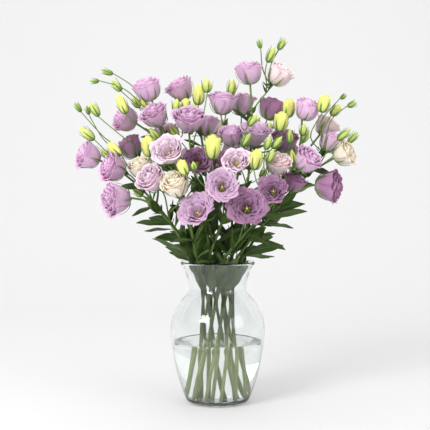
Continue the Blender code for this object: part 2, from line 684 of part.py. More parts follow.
def join_all(trunk, pieces, operation="UNION"):
    """One solid from the trunk and the pieces, which overlap it; the pieces are used up."""
    group = bpy.data.collections.new("pieces")
    for piece in pieces:
        group.objects.link(piece)
    union = trunk.modifiers.new("join", "BOOLEAN")
    union.operation = operation
    union.solver = "EXACT"
    union.operand_type = "COLLECTION"
    union.collection = group
    bpy.context.view_layer.update()
    evaluated = trunk.evaluated_get(bpy.context.evaluated_depsgraph_get())
    mesh = bpy.data.meshes.new_from_object(evaluated)
    trunk.modifiers.clear()
    old = trunk.data
    trunk.data = mesh
    bpy.data.meshes.remove(old)
    mesh.name = trunk.name
    for piece in pieces:
        used = piece.data
        bpy.data.objects.remove(piece)
        bpy.data.meshes.remove(used)
    bpy.data.collections.remove(group)


def stem_body(name, stem, made_of):
    trunk_path, trunk_radii = stem["trunks"][0]
    trunk = tube(name, trunk_path, trunk_radii, STEM_SIDES, made_of)
    pieces = [tube("stalk", path, radii, STALK_SIDES) for path, radii in stem["trunks"][1:]]
    for number, path, radii in stem["buds"]:
        base, tip, thick, colour = BUDS[number]
        base, tip = np.array(base, dtype=float), np.array(tip, dtype=float)
        swell = [base + (tip - base) * part for part, share in BUD_RINGS]
        sizes = [share * thick / 2 for part, share in BUD_RINGS]
        pieces.append(tube("bud", np.vstack([path, swell]), np.concatenate([radii, sizes]),
                           STALK_SIDES))
    pieces += [leaf_body(*leaf) for leaf in stem["leaves"]]
    join_all(trunk, pieces)
    return trunk


def vase_body(made_of):
    return turned("vase", VASE_OUTSIDE + VASE_INSIDE, VASE_SEGMENTS, made_of)


def water_body(made_of, grown):
    """The water, with room left in it for each stem."""
    floor = VASE_INSIDE[-1][1] + WATER_GAP
    wetted = [(r, z) for r, z in VASE_INSIDE[::-1] if floor < z < WATER_LEVEL]
    profile = [(VASE_INSIDE[-1][0] - WATER_GAP, floor)]
    profile += [(r - WATER_GAP * 1.2, z) for r, z in wetted]
    surface = profile_radius(VASE_INSIDE, WATER_LEVEL)
    profile.append((surface - WATER_GAP, WATER_LEVEL))
    water = turned("water", profile, VASE_SEGMENTS, made_of)
    cutters = []
    for stem in grown.values():
        path, radii = stem["trunks"][0]
        slope = (path[1] - path[0]) / (path[1][2] - path[0][2])
        ends = np.array([path[0] - slope * 6.0, path[0] + slope * (WATER_LEVEL + 6.0 - path[0][2])])
        room = (STEM_RADIUS[0] + WATER_GAP) / math.cos(math.pi / CUTTER_SIDES)
        cutters.append(tube("cutter", ends, (room, room), CUTTER_SIDES))
    join_all(water, cutters, "DIFFERENCE")
    return water


def main():
    for old in list(bpy.data.objects):
        bpy.data.objects.remove(old)
    glass = material("vase_glass", (0.93, 0.96, 0.95), 0.03, 1.0, 1.5)
    water = material("clear_water", (0.93, 0.97, 0.96), 0.02, 1.0, 1.33)
    stem = material("stem_and_leaf_green", (0.16, 0.25, 0.10), 0.55)
    petals = {tint: material("petal_" + tint, colour, 0.6) for tint, colour in PETAL_COLOURS.items()}
    grown = arrange()
    vase_body(glass)
    water_body(water, grown)
    for name in STEMS:
        stem_body(name, grown[name], stem)
    for number, entry in BLOOMS.items():
        flower_body(number, petals[entry[4]])


main()
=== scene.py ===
"""Looks of the lisianthus bouquet in its glass vase.

The arrangement is the one that the solids were built from: the vase stands on
z = 0 with its axis on Z, front is -Y, and lengths in it are millimetres.
"""

from itertools import product
from math import acos, atan2, ceil, cos, degrees, pi, radians, sin

import bmesh
import bpy
import numpy as np
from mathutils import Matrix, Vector


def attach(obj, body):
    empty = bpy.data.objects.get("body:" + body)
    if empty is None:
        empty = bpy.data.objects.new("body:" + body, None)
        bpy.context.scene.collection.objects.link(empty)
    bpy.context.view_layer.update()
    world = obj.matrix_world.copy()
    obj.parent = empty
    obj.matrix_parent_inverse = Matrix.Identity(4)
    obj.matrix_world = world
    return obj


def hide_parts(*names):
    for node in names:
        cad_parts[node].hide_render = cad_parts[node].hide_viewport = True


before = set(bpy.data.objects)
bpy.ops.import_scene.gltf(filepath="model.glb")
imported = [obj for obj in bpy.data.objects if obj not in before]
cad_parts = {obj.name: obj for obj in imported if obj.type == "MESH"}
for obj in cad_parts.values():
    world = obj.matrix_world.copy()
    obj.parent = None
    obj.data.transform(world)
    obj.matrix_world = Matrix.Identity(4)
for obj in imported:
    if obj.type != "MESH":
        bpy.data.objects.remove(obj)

WORLD_STRENGTH = 0.95
SIDE_STRENGTH = 0.35  # the studio is dimmer at the sides, which draws the edges of the glass
KEY_POWER = 30.0
FILL_POWER = 9.0
BACK_POWER = 6.0
WHITE = (1.0, 1.0, 1.0, 1.0)
FLOOR_TONE = (0.60, 0.60, 0.60, 1.0)
FLOOR_GLOW = 0.21
LENS, SENSOR_WIDTH = 83.6, 36.0
EYE = (-0.004, -1.5, 0.325)  # metres
EYE_DIP = 1.66  # degrees below level
TURN_SEGMENTS = 96  # round the vase and the water
WATER_OVERLAP = 0.15  # water into the glass wall, so that no film of air shows
WATER_SINK = 0.35  # water into the glass floor, so that their faces don't coincide
MENISCUS = (1.6, 0.6)  # width and height
SWEEP_DROP = 0.0004  # metres, keeps the paper's face off the glass foot's

MM = 0.001

# Vase
VASE_OUTSIDE = [  # radius, height, from the foot up to the lip
    (36.0, 0.0), (44.0, 1.6), (48.5, 6.5), (54.5, 23.0), (60.0, 39.5), (65.0, 61.5),
    (70.0, 94.0), (71.0, 108.0), (70.0, 120.0), (67.0, 132.0), (58.0, 149.0), (48.5, 160.5),
    (43.8, 168.0), (43.2, 175.0), (45.8, 188.0), (51.4, 202.0), (56.0, 208.5), (55.0, 212.0),
]
VASE_INSIDE = [  # from the lip down to the floor
    (51.5, 210.5), (47.8, 201.0), (42.3, 187.5), (39.9, 175.0), (40.8, 167.5), (46.0, 158.8),
    (55.5, 146.5), (63.8, 131.5), (66.7, 120.0), (67.6, 108.0), (66.7, 94.0), (61.7, 62.0),
    (56.7, 40.5), (51.2, 24.5), (47.5, 13.0), (42.2, 8.0),
]
VASE_LIP = 212.0
WATER_LEVEL = 92.0

# Stems
FOOT_HEIGHT = 8.4  # the cut ends rest just above the vase's floor
WAIST_HEIGHT = 150.0  # the bunch is narrowest here
NECK_HEIGHT = 183.0
RIM_HEIGHT = 215.0  # the stems fan out freely above here
RINGS = {  # stems in the ring, waist radius, slope below, curl above
    "outer": (11, 23.0, 0.208, 0.0037),
    "inner": (5, 10.0, 0.163, 0.0026),
}
RING_TURN = {"outer": -97.0, "inner": -111.0}
STEM_RADIUS = (2.4, 2.1, 1.5)  # at the foot, at the rim, under the flower
STALK_RADIUS = (1.25, 1.0)  # a flower's stalk, at the stem and at the flower
BUD_STALK_RADIUS = (0.95, 0.75)
STALK_GAP = 0.3  # stalk to flower
STALK_NECK = 3.0  # the last stretch, straight behind the flower
CLEAR = 0.8  # room sought between the stalks of different stems
LEAST_ROOM = 0.35  # a bud whose stalk has less room than this isn't grown
STEM_STEPS = 6
STALK_STEPS = 4
BUD_STALK_STEPS = 3

# Leaves
LEAF_NODES = (-34.0, 8.0, 36.0, 66.0, 100.0, 136.0, 172.0)  # along the stem from the rim
LEAF_LENGTH = (58.0, 34.0)  # at the lowest node and at the highest
LEAF_WIDTH = (17.0, 9.0)
LEAF_DROOP = radians(24.0)
PLACED_LEAVES = [  # near which point of a stem, tip, width
    ((-41, -15, 218), (-98, -25, 248), 17),
    ((-79, -20, 262), (-121, -35, 271), 12),
    ((88, -15, 266), (133, -30, 288), 13),
    ((49, -10, 220), (98, -25, 237), 16),
    ((98, -20, 272), (124, -30, 297), 12),
    ((20, -10, 222), (-6, -55, 246), 17),
    ((30, 0, 418), (22, -14, 440), 9),
    ((34, 0, 408), (44, -18, 436), 9),
    ((-100, 0, 390), (-116, -10, 414), 9),
]

# Room
LOOSE = 100  # owner, with its number, of a bud that has no stalk yet
FAR = 99.0  # stands for no neighbour at all
NEARBY = 12.0  # how far round a row of balls neighbours count
PATH_STEP = 2.5  # balls along a path stand this close
STEM_TO_GLASS = 2.5
LEAF_TO_GLASS = 1.2
LEAF_ROOM = 1.6  # room sought round a leaf
LEAF_BALL = 0.6  # radius of the balls that fill a leaf
LEAF_PLAY = 0.2  # what a placed leaf takes beyond its balls
LEAF_ROOT = 9.0  # a leaf may touch its own stem this near its root

# What is tried, in this order, until there is room
STEM_PUSHES = (0.0, 8.0, -8.0, 16.0, -16.0, 26.0, -26.0)
STEM_PULLS = ((0.35, 0.3), (0.5, 0.2), (0.3, 0.45), (0.2, 0.2), (0.6, 0.35))
STALK_BENDS = [  # pull at the fork, pull at the flower, sideways bulge, as parts of the span
    (0.33, 0.33, 0.0), (0.25, 0.5, 0.0), (0.45, 0.22, 0.0), (0.15, 0.2, 0.0), (0.3, 0.7, 0.0),
    (0.33, 0.33, 0.2), (0.33, 0.33, -0.2), (0.3, 0.5, 0.4), (0.3, 0.5, -0.4),
]
STALK_TRIES = 60
SHORTEST_STALK = 16.0
FORK_ANGLE = 28.0  # best angle between a stalk and its stem, in degrees
EASY_TURN = 35.0  # a stalk bends this much for nothing
LEAF_SHRINKS = (1.0, 0.8, 0.62)
LEAF_TURNS = (0.0, 22.0, -22.0, 44.0, -44.0)
LEAF_LEANS = (0.0, -16.0, 18.0)
LEAF_LIFTS = (0.0, 8.0, -8.0, 16.0, -16.0)
LEAF_SWINGS = (0.0, 10.0, -10.0, 20.0, -20.0)

# ---- arrangement
# Flowering stems: ring of the bunch, step round the ring, and the blooms and
# buds that the stem carries, the leader first.
STEMS = {
    "stem_right_low": ("outer", 0, (16, 17, 36), (32, 50)),
    "stem_right_mid": ("outer", 1, (14, 15), (44, 45, 46, 47)),
    "stem_right_high": ("outer", 2, (12, 13, 41), (40, 41, 42, 43, 51)),
    "stem_back_centre": ("outer", 3, (39, 7), (52, 53)),
    "stem_back_left": ("outer", 4, (42, 40), (54, 55)),
    "stem_left_high": ("outer", 5, (3, 31), (9, 7, 8, 12, 56)),
    "stem_left_mid": ("outer", 6, (29, 28, 27), (10, 11)),
    "stem_left_low": ("outer", 7, (30, 25, 26), (57,)),
    "stem_front_left": ("outer", 8, (24, 22), (13, 14, 35)),
    "stem_front_centre": ("outer", 9, (18, 19), (34, 36)),
    "stem_front_right": ("outer", 10, (21, 20), (33, 29, 30)),
    "stem_upper_left": ("inner", 3, (1, 4), (3, 1, 2, 5, 6, 4, 15)),
    "stem_upper_centre": ("inner", 2, (2, 32, 38), (19, 20, 17, 18, 16)),
    "stem_top": ("inner", 1, (9, 10, 6), (24, 25, 23, 22, 28)),
    "stem_right_upper": ("inner", 0, (11, 8, 35, 34), (39, 31, 37, 38, 26, 27)),
    "stem_centre": ("inner", 4, (5, 33, 23, 37), (21,)),
}

# Blooms: middle of the flower, the way that it faces, width across the rim,
# how far it is open from 0 to 1, and its tint.
BLOOMS = {
    1: (-104, 0, 468, -35, -25, 100, 38, .35, "lilac"), 2: (-55, 25, 470, -50, -20, 80, 41, .5, "lilac"),
    3: (-138, 25, 426, -70, -30, 30, 38, .4, "lilac"), 4: (-91, -25, 427, -45, -50, 75, 40, .5, "lilac"),
    5: (-42, -35, 419, 0, -50, 85, 45, .55, "lilac"), 6: (7, -3, 447, 10, -20, 100, 40, .5, "lilac"),
    7: (37, 55, 450, 0, 10, 100, 40, .5, "lilac"), 8: (82, 45, 442, 35, 10, 90, 39, .45, "mauve"),
    9: (47, -5, 492, -10, -15, 100, 39, .45, "lilac"), 10: (91, 5, 490, 55, -15, 80, 36, .4, "blush"),
    11: (133, 2, 438, 35, -20, 90, 34, .3, "lilac"), 12: (166, 40, 415, 60, 10, 75, 35, .45, "blush"),
    13: (171, 20, 390, 45, 0, 90, 35, .4, "lilac"), 14: (186, -15, 372, 75, -35, 35, 36, .45, "cream"),
    15: (128, -45, 361, 50, -45, 55, 38, .4, "lilac"), 16: (161, -30, 325, 90, -30, -5, 46, .5, "mauve"),
    17: (86, -60, 354, 10, -50, 80, 37, .5, "blush"), 18: (27, -75, 357, -10, -80, 55, 38, .6, "pink"),
    19: (6, -100, 323, 3, -100, 30, 45, .85, "lilac"), 20: (41, -95, 293, 5, -95, 35, 56, .95, "mauve"),
    21: (79, -83, 317, -15, -90, 40, 42, .8, "mauve"), 22: (-28, -80, 286, -30, -75, 60, 54, .85, "lilac"),
    23: (-30, -40, 358, 10, -85, 40, 41, .7, "mauve"), 24: (-69, -75, 371, -25, -75, 60, 46, .65, "pink"),
    25: (-94, -55, 333, -50, -60, 55, 43, .55, "pink"), 26: (-59, -75, 325, -30, -60, 70, 37, .35, "cream"),
    27: (-114, -5, 351, -30, -40, 80, 34, .4, "cream"), 28: (-153, -15, 351, -75, -45, 30, 40, .4, "lilac"),
    29: (-191, -5, 369, -85, -30, 35, 40, .45, "lilac"), 30: (-146, -35, 306, -85, -45, -5, 48, .5, "lilac"),
    31: (-134, 45, 383, -50, 0, 70, 39, .45, "mauve"), 32: (-77, 45, 405, -20, -10, 100, 34, .45, "lilac"),
    33: (21, -10, 399, -10, -35, 90, 34, .45, "lilac"), 34: (55, -29, 398, 10, -40, 90, 47, .7, "lilac"),
    35: (101, 15, 392, 10, -30, 80, 39, .5, "mauve"), 36: (113, -15, 328, 30, -20, 70, 31, .35, "mauve"),
    37: (-1, 5, 356, 0, -70, 50, 36, .6, "mauve"), 38: (-18, 50, 417, 0, 0, 100, 37, .5, "lilac"),
    39: (30, 120, 371, 10, 80, 60, 49, .7, "lilac"), 40: (-60, 110, 359, -30, 75, 60, 45, .6, "pink"),
    41: (108, 105, 367, 50, 70, 50, 45, .6, "mauve"), 42: (-4, 120, 408, 0, 60, 90, 45, .5, "blush"),
}

# Buds: base, tip and thickness. The pale ones are swelling open, the others
# are green and tight.
PALE_BUDS = (4, 6, 12, 14, 18, 20, 33, 34, 35, 37, 39, 40, 41, 55)
BUDS = {
    1: (-158, 10, 494, -176, 10, 500, 8), 2: (-178, 0, 482, -192, 0, 482, 7),
    3: (-145, 5, 468, -160, 5, 484, 12), 4: (-136, -10, 433, -148, -10, 459, 16),
    5: (-120, 30, 445, -129, 30, 463, 14), 6: (-103, 30, 439, -116, 30, 456, 14),
    7: (-204, -5, 436, -214, -5, 450, 7), 8: (-192, -5, 432, -196, -5, 445, 6),
    9: (-177, -10, 429, -190, -10, 450, 13), 10: (-184, -10, 394, -207, -10, 413, 15),
    11: (-161, 0, 366, -175, 0, 381, 12), 12: (-143, -20, 370, -161, -20, 388, 16),
    13: (-112, -15, 374, -128, -15, 395, 15), 14: (-100, -20, 368, -104, -20, 398, 24),
    15: (-87, -20, 394, -101, -20, 411, 12), 16: (-59, -5, 397, -72, -5, 416, 13),
    17: (-62, 0, 433, -61, 0, 456, 15), 18: (-50, 7, 437, -47, 7, 456, 17),
    19: (-31, 0, 476, -38, 0, 491, 8), 20: (-29, -5, 446, -28, -5, 475, 21),
    21: (-16, -10, 464, -16, -10, 486, 16), 22: (19, 17, 461, 24, 17, 487, 16),
    23: (64, 0, 531, 61, 0, 545, 6), 24: (74, -10, 509, 85, -10, 532, 13),
    25: (91, 0, 529, 101, 0, 546, 10), 26: (37, -47, 411, 46, -47, 438, 13),
    27: (44, -56, 412, 57, -56, 428, 12), 28: (35, -62, 382, 47, -62, 401, 11),
    29: (68, -75, 377, 75, -75, 396, 11), 30: (78, -70, 379, 92, -70, 396, 11),
    31: (105, -45, 387, 105, -45, 409, 10), 32: (71, -85, 359, 79, -85, 377, 12),
    33: (52, -85, 348, 56, -85, 376, 21), 34: (-8, -70, 363, -7, -70, 397, 27),
    35: (-44, -95, 341, -54, -95, 361, 17), 36: (-33, -90, 347, -35, -90, 360, 10),
    37: (91, -25, 405, 95, -25, 433, 24), 38: (75, -15, 405, 78, -15, 420, 13),
    39: (107, 20, 429, 109, 20, 456, 21), 40: (154, -18, 434, 160, -18, 459, 21),
    41: (171, 5, 431, 183, 5, 446, 14), 42: (184, 0, 456, 193, 0, 462, 5),
    43: (194, -5, 444, 208, -5, 450, 8), 44: (176, -30, 393, 196, -30, 409, 11),
    45: (196, 3, 390, 211, 3, 406, 10), 46: (111, -50, 357, 107, -50, 378, 12),
    47: (126, -10, 400, 129, -10, 418, 13), 50: (125, 30, 318, 140, 42, 333, 12),
    51: (135, 100, 395, 148, 112, 415, 12), 52: (60, 115, 415, 68, 125, 437, 13),
    53: (70, 125, 340, 80, 142, 354, 11), 54: (-35, 128, 440, -40, 136, 462, 13),
    55: (-80, 118, 398, -93, 130, 416, 16), 56: (-100, 80, 420, -110, 90, 442, 13),
    57: (-115, 30, 310, -132, 38, 324, 13),
}


def unit(vector):
    vector = np.asarray(vector, dtype=float)
    return vector / np.linalg.norm(vector)


def across(axis):
    """Two directions square to axis and to each other."""
    side = np.cross((0.0, 0.0, 1.0), axis)
    if np.linalg.norm(side) < 0.05:
        side = np.array((1.0, 0.0, 0.0))
    side = unit(side - axis * np.dot(side, axis))
    return side, np.cross(axis, side)


def around(side, up, angle):
    """The direction at an angle in the plane of side and up."""
    return side * cos(angle) + up * sin(angle)


def bezier(start, pull_start, pull_end, end, steps):
    t = np.linspace(0.0, 1.0, steps + 1)[:, None]
    return ((1 - t) ** 3 * start + 3 * (1 - t) ** 2 * t * pull_start
            + 3 * (1 - t) * t ** 2 * pull_end + t ** 3 * end)


def fine(path, radii, step):
    """The same broken line with points no more than step apart."""
    points, sizes = [path[0]], [radii[0]]
    for a, b, ra, rb in zip(path[:-1], path[1:], radii[:-1], radii[1:]):
        count = max(1, ceil(np.linalg.norm(b - a) / step))
        for k in range(1, count + 1):
            points.append(a + (b - a) * k / count)
            sizes.append(ra + (rb - ra) * k / count)
    return np.array(points), np.array(sizes)


def inside_radius(height):
    """Radius of the vase's inside wall at a height."""
    radii, heights = zip(*reversed(VASE_INSIDE))
    return np.interp(height, heights, radii)


# A flower's outline as (part of its length, part of its rim radius).
CUP = [(0.0, 0.15), (0.10, 0.32), (0.35, 0.60), (0.70, 0.85), (1.0, 1.0)]
BUD = [(0.0, 0.25), (0.20, 0.75), (0.45, 1.0), (0.75, 0.70), (1.0, 0.12)]


def flower_pose(number):
    """Base point, axis, length and rim radius of a flower."""
    row = BLOOMS[number]
    width, opened = row[6:8]
    axis = unit(row[3:6])
    length = width * (1.02 - 0.5 * opened)
    return np.array(row[:3]) - axis * length / 2, axis, length, width / 2


class Thicket:
    """What has been placed so far, as balls that each have an owner."""

    def __init__(self):
        self.balls = np.zeros((0, 5))
        self.numbers = list(BLOOMS)
        poses = [flower_pose(number) for number in BLOOMS]
        self.bases, self.axes, self.lengths, self.rims = map(np.array, zip(*poses))

    def add(self, points, radii, owner):
        rows = np.column_stack([points, radii, np.full(len(points), owner)])
        self.balls = np.vstack([self.balls, rows])

    def room(self, points, radii, skip_owners=(), skip_flower=None, own=None, root=None):
        """Least clearance of a row of balls from everything that isn't skipped."""
        low = points.min(axis=0) - NEARBY
        high = points.max(axis=0) + NEARBY
        balls = self.balls
        keep = np.all((balls[:, :3] > low) & (balls[:, :3] < high), axis=1)
        for owner in skip_owners:
            keep &= balls[:, 4] != owner
        balls = balls[keep]
        if own is not None and len(balls):
            at_root = np.linalg.norm(balls[:, :3] - root, axis=1) < LEAF_ROOT
            balls = balls[~((balls[:, 4] == own) & at_root)]
        least = FAR
        if len(balls):
            apart = np.linalg.norm(points[:, None] - balls[None, :, :3], axis=2)
            least = float((apart - radii[:, None] - balls[None, :, 3]).min())
        offset = points[:, None] - self.bases[None]
        along = np.einsum("ijk,jk->ij", offset, self.axes)
        out = np.sqrt(np.maximum(np.sum(offset ** 2, axis=2) - along ** 2, 0.0))
        share = np.clip(along / self.lengths, 0.0, 1.0)
        wall = np.interp(share, *zip(*CUP)) * self.rims
        away = np.maximum(np.maximum(out - wall, -along), along - self.lengths)
        if skip_flower is not None:
            away[:, self.numbers.index(skip_flower)] = FAR
        return min(least, float((away - radii[:, None]).min()))


def glass_room(points, radius):
    """Least clearance inside the vase's wall, for points below the lip."""
    out = np.hypot(points[:, 0], points[:, 1])
    room = inside_radius(points[:, 2]) - out - radius
    return float(np.where(points[:, 2] < VASE_LIP + 2.0, room, FAR).min())


def bunch_point(ring, step, height):
    """Where a stem of the bunch crosses a height."""
    count, waist, slope, curl = RINGS[ring]
    angle = radians(RING_TURN[ring] + 360.0 * step / count)
    rise = height - WAIST_HEIGHT
    swing = slope * rise + curl * max(0.0, rise) ** 2
    outward = np.array((cos(angle), sin(angle), 0.0))
    sideways = np.array((-sin(angle), cos(angle), 0.0))
    return outward * waist + sideways * swing + np.array((0.0, 0.0, height))


def stem_path(name, thicket):
    """The main stem, from its cut foot to its leading flower."""
    ring, step, blooms, buds = STEMS[name]
    heights = [FOOT_HEIGHT, WAIST_HEIGHT, NECK_HEIGHT, RIM_HEIGHT]
    lower = np.array([bunch_point(ring, step, height) for height in heights])
    heading = unit(lower[-1] - bunch_point(ring, step, RIM_HEIGHT - 1.0))
    leader = blooms[0]
    base, axis, length, rim = flower_pose(leader)
    tip = base - axis * STALK_GAP
    end = tip - axis * STALK_NECK
    span = np.linalg.norm(end - lower[-1])
    side, up = across(unit(end - lower[-1]))
    best = None
    for push, way, (pull_a, pull_b) in product(STEM_PUSHES, (side, up), STEM_PULLS):
        upper = bezier(lower[-1], lower[-1] + heading * span * pull_a + way * push,
                       end - axis * span * pull_b + way * push, end, STEM_STEPS)
        path = np.vstack([lower, upper[1:], tip])
        low = np.interp(heights, [FOOT_HEIGHT, RIM_HEIGHT], STEM_RADIUS[:2])
        high = np.linspace(STEM_RADIUS[1], STEM_RADIUS[2], STEM_STEPS + 1)
        radii = np.concatenate([low, high[1:], high[-1:]])
        points, sizes = fine(path, radii, PATH_STEP)
        room = min(thicket.room(points, sizes, skip_flower=leader), glass_room(points, STEM_TO_GLASS))
        if best is None or room > best[0]:
            best = (room, path, radii, points, sizes)
        if room > CLEAR:
            return best
    return best


def branch_path(trunks, tip, axis, radii_ends, steps, thicket, own, flower=None, bud_owner=None):
    """A stalk that leaves one of the stem's trunks and ends at tip, along axis."""
    end = tip - axis * STALK_NECK
    tries = []
    for trunk_number, (trunk, sizes) in enumerate(trunks):
        top = len(trunk) - (3 if trunk_number == 0 else 2)
        for k in range(1, top + 1):
            for part in (0.0, 0.5):
                if k == top and part:
                    continue
                root = trunk[k] * (1 - part) + trunk[k + 1] * part
                if root[2] < RIM_HEIGHT + 12.0:
                    continue
                reach = end - root
                span = np.linalg.norm(reach)
                if span < SHORTEST_STALK:
                    continue
                grain = unit(trunk[k + 1] - trunk[k])
                fork = degrees(acos(np.clip(np.dot(grain, reach) / span, -1, 1)))
                turn = degrees(acos(np.clip(np.dot(axis, reach) / span, -1, 1)))
                cost = span + 0.9 * abs(fork - FORK_ANGLE) + 0.7 * max(0.0, turn - EASY_TURN)
                cost += 25.0 * (span < 30.0)
                tries.append((cost, len(tries), root, grain, reach, span))
    tries.sort(key=lambda item: item[:2])
    best = None
    for cost, order, root, grain, reach, span in tries[:STALK_TRIES]:
        heading = unit(grain * 0.7 + unit(reach))
        side = across(unit(reach))[0] * span
        for pull_a, pull_b, push in STALK_BENDS:
            path = bezier(root, root + heading * span * pull_a + side * push,
                          end - axis * span * pull_b + side * push * 0.6, end, steps)
            path = np.vstack([path, tip])
            radii = np.append(np.linspace(radii_ends[0], radii_ends[1], steps + 1), radii_ends[1])
            points, sizes = fine(path, radii, PATH_STEP)
            skip = (own,) if bud_owner is None else (own, bud_owner)
            room = thicket.room(points, sizes, skip_owners=skip, skip_flower=flower)
            if best is None or room > best[0]:
                best = (room, path, radii, points, sizes)
            if room > CLEAR:
                return best
    return best


def bud_ends(number):
    """Base, tip and thickness of a bud."""
    row = np.array(BUDS[number], dtype=float)
    return row[:3], row[3:6], row[6]


def bud_balls(number):
    base, tip, thick = bud_ends(number)
    parts = np.linspace(0.0, 1.0, 7)
    points = base + (tip - base) * parts[:, None]
    radii = np.interp(parts, *zip(*BUD)) * thick / 2
    return points, radii


def leaf_spine(root, grain, outward, length, tilt, droop, steps):
    """Middle line of a leaf and the direction across it."""
    heading = unit(grain * cos(tilt) + outward * sin(tilt))
    further = unit(grain * cos(tilt + droop) + outward * sin(tilt + droop))
    t = np.linspace(0.0, 1.0, steps + 1)[:, None]
    knee = root + heading * length * 0.5
    end = knee + further * length * 0.5
    spine = (1 - t) ** 2 * root + 2 * (1 - t) * t * knee + t ** 2 * end
    return spine, unit(np.cross(grain, outward))


LEAF_OUTLINE = [(0.0, 0.16), (0.12, 0.42), (0.38, 1.0), (0.7, 0.72), (1.0, 0.05)]


def leaf_balls(spine, crosswise, width):
    parts = np.linspace(0.0, 1.0, len(spine))
    halves = np.interp(parts, *zip(*LEAF_OUTLINE)) * width / 2
    rows = [spine + crosswise * halves[:, None] * f for f in (-1.0, -0.5, 0.0, 0.5, 1.0)]
    return np.vstack(rows)


def leaf_fits(thicket, own, root, grain, outward, length, width, tilt):
    """Whether a leaf has room. If it has, its place is taken."""
    spine, crosswise = leaf_spine(root, grain, outward, length, tilt, LEAF_DROOP, 12)
    points = leaf_balls(spine, crosswise, width)
    sizes = np.full(len(points), LEAF_BALL)
    if glass_room(points, LEAF_TO_GLASS) < 0.0:
        return False
    if thicket.room(points, sizes, own=own, root=root) <= LEAF_ROOM:
        return False
    thicket.add(points, sizes + LEAF_PLAY, own)
    return True


def leaf_pair(root, grain, azimuth, length, width, tilt, thicket, own):
    """Up to two leaves that face each other across the stem."""
    side, up = across(grain)
    found = []
    for half in (0.0, pi):
        for shrink, turn, lean in product(LEAF_SHRINKS, LEAF_TURNS, LEAF_LEANS):
            outward = around(side, up, azimuth + half + radians(turn))
            item = (root, grain, outward, length * shrink, width * shrink, radians(tilt + lean))
            if leaf_fits(thicket, own, *item):
                found.append(item)
                break
    return found


def place_leaf(grown, names, thicket, hint, tip, width):
    """One leaf towards tip, from the trunk that passes nearest to hint."""
    best = None
    for name in names:
        path = grown[name]["trunks"][0][0]
        points, sizes = fine(path, np.ones(len(path)), 4.0)
        gap = np.linalg.norm(points - hint, axis=1)
        k = min(int(gap.argmin()), len(points) - 2)
        if best is None or gap[k] < best[0]:
            best = (gap[k], name, points[k], unit(points[k + 1] - points[k]))
    gap, name, root, grain = best
    own = names.index(name)
    for lift, swing in product(LEAF_LIFTS, LEAF_SWINGS):
        reach = tip + np.array((0.0, swing, lift)) - root
        length = np.linalg.norm(reach)
        along = np.dot(reach, grain)
        outward = unit(reach - grain * along)
        item = (root, grain, outward, length, width, acos(along / length) - LEAF_DROOP * 0.5)
        if leaf_fits(thicket, own, *item):
            grown[name]["leaves"].append(item)
            return


def grow_leaves(stem, thicket, own):
    """Pairs of leaves up the trunk, each pair square to the pair below."""
    path = stem["trunks"][0][0]
    points, sizes = fine(path, np.ones(len(path)), 3.0)
    steps = np.linalg.norm(np.diff(points, axis=0), axis=1)
    run = np.concatenate([[0.0], np.cumsum(steps)])
    rim = float(np.interp(RIM_HEIGHT, points[:8 + len(points) // 2, 2], run[:8 + len(points) // 2]))
    turn = own * 0.9
    for k, distance in enumerate(LEAF_NODES):
        at = rim + distance
        if at > run[-1] - 34.0:
            break
        index = int(np.searchsorted(run, at))
        grain = unit(points[index + 1] - points[index])
        share = k / (len(LEAF_NODES) - 1)
        length = LEAF_LENGTH[0] + (LEAF_LENGTH[1] - LEAF_LENGTH[0]) * share
        width = LEAF_WIDTH[0] + (LEAF_WIDTH[1] - LEAF_WIDTH[0]) * share
        tilt = 26.0 if distance < 0 else 44.0
        stem["leaves"] += leaf_pair(points[index], grain, turn + k * pi / 2, length, width,
                                    tilt, thicket, own)


def arrange():
    """Every stem's trunk, stalks, buds and leaves, in millimetres."""
    thicket = Thicket()
    names = list(STEMS)
    grown = {name: {"trunks": [], "buds": [], "leaves": []} for name in names}
    for own, name in enumerate(names):
        room, path, radii, points, sizes = stem_path(name, thicket)
        grown[name]["trunks"].append((path, radii))
        thicket.add(points, sizes, own)
    for ring, step, blooms, buds in STEMS.values():
        for number in buds:
            thicket.add(*bud_balls(number), LOOSE + number)
    for own, (name, (ring, step, blooms, buds)) in enumerate(STEMS.items()):
        for number in blooms[1:]:
            base, axis, length, rim = flower_pose(number)
            found = branch_path(grown[name]["trunks"], base - axis * STALK_GAP, axis, STALK_RADIUS,
                                STALK_STEPS, thicket, own, flower=number)
            grown[name]["trunks"].append(found[1:3])
            thicket.add(*found[3:], own)
    for own, (name, (ring, step, blooms, buds)) in enumerate(STEMS.items()):
        for number in buds:
            base, tip, thick = bud_ends(number)
            found = branch_path(grown[name]["trunks"], base, unit(tip - base), BUD_STALK_RADIUS,
                                BUD_STALK_STEPS, thicket, own, bud_owner=LOOSE + number)
            at_bud = thicket.balls[:, 4] == LOOSE + number
            if found[0] < LEAST_ROOM:
                thicket.balls = thicket.balls[~at_bud]
                continue
            grown[name]["buds"].append((number, *found[1:3]))
            thicket.balls[at_bud, 4] = own
            thicket.add(*found[3:], own)
    for root_hint, tip, width in PLACED_LEAVES:
        place_leaf(grown, names, thicket, root_hint, tip, width)
    for own, name in enumerate(names):
        grow_leaves(grown[name], thicket, own)
    return grown


# ---- meshes
def linked(name, data):
    """A new object in the scene."""
    made = bpy.data.objects.new(name, data)
    bpy.context.scene.collection.objects.link(made)
    return made


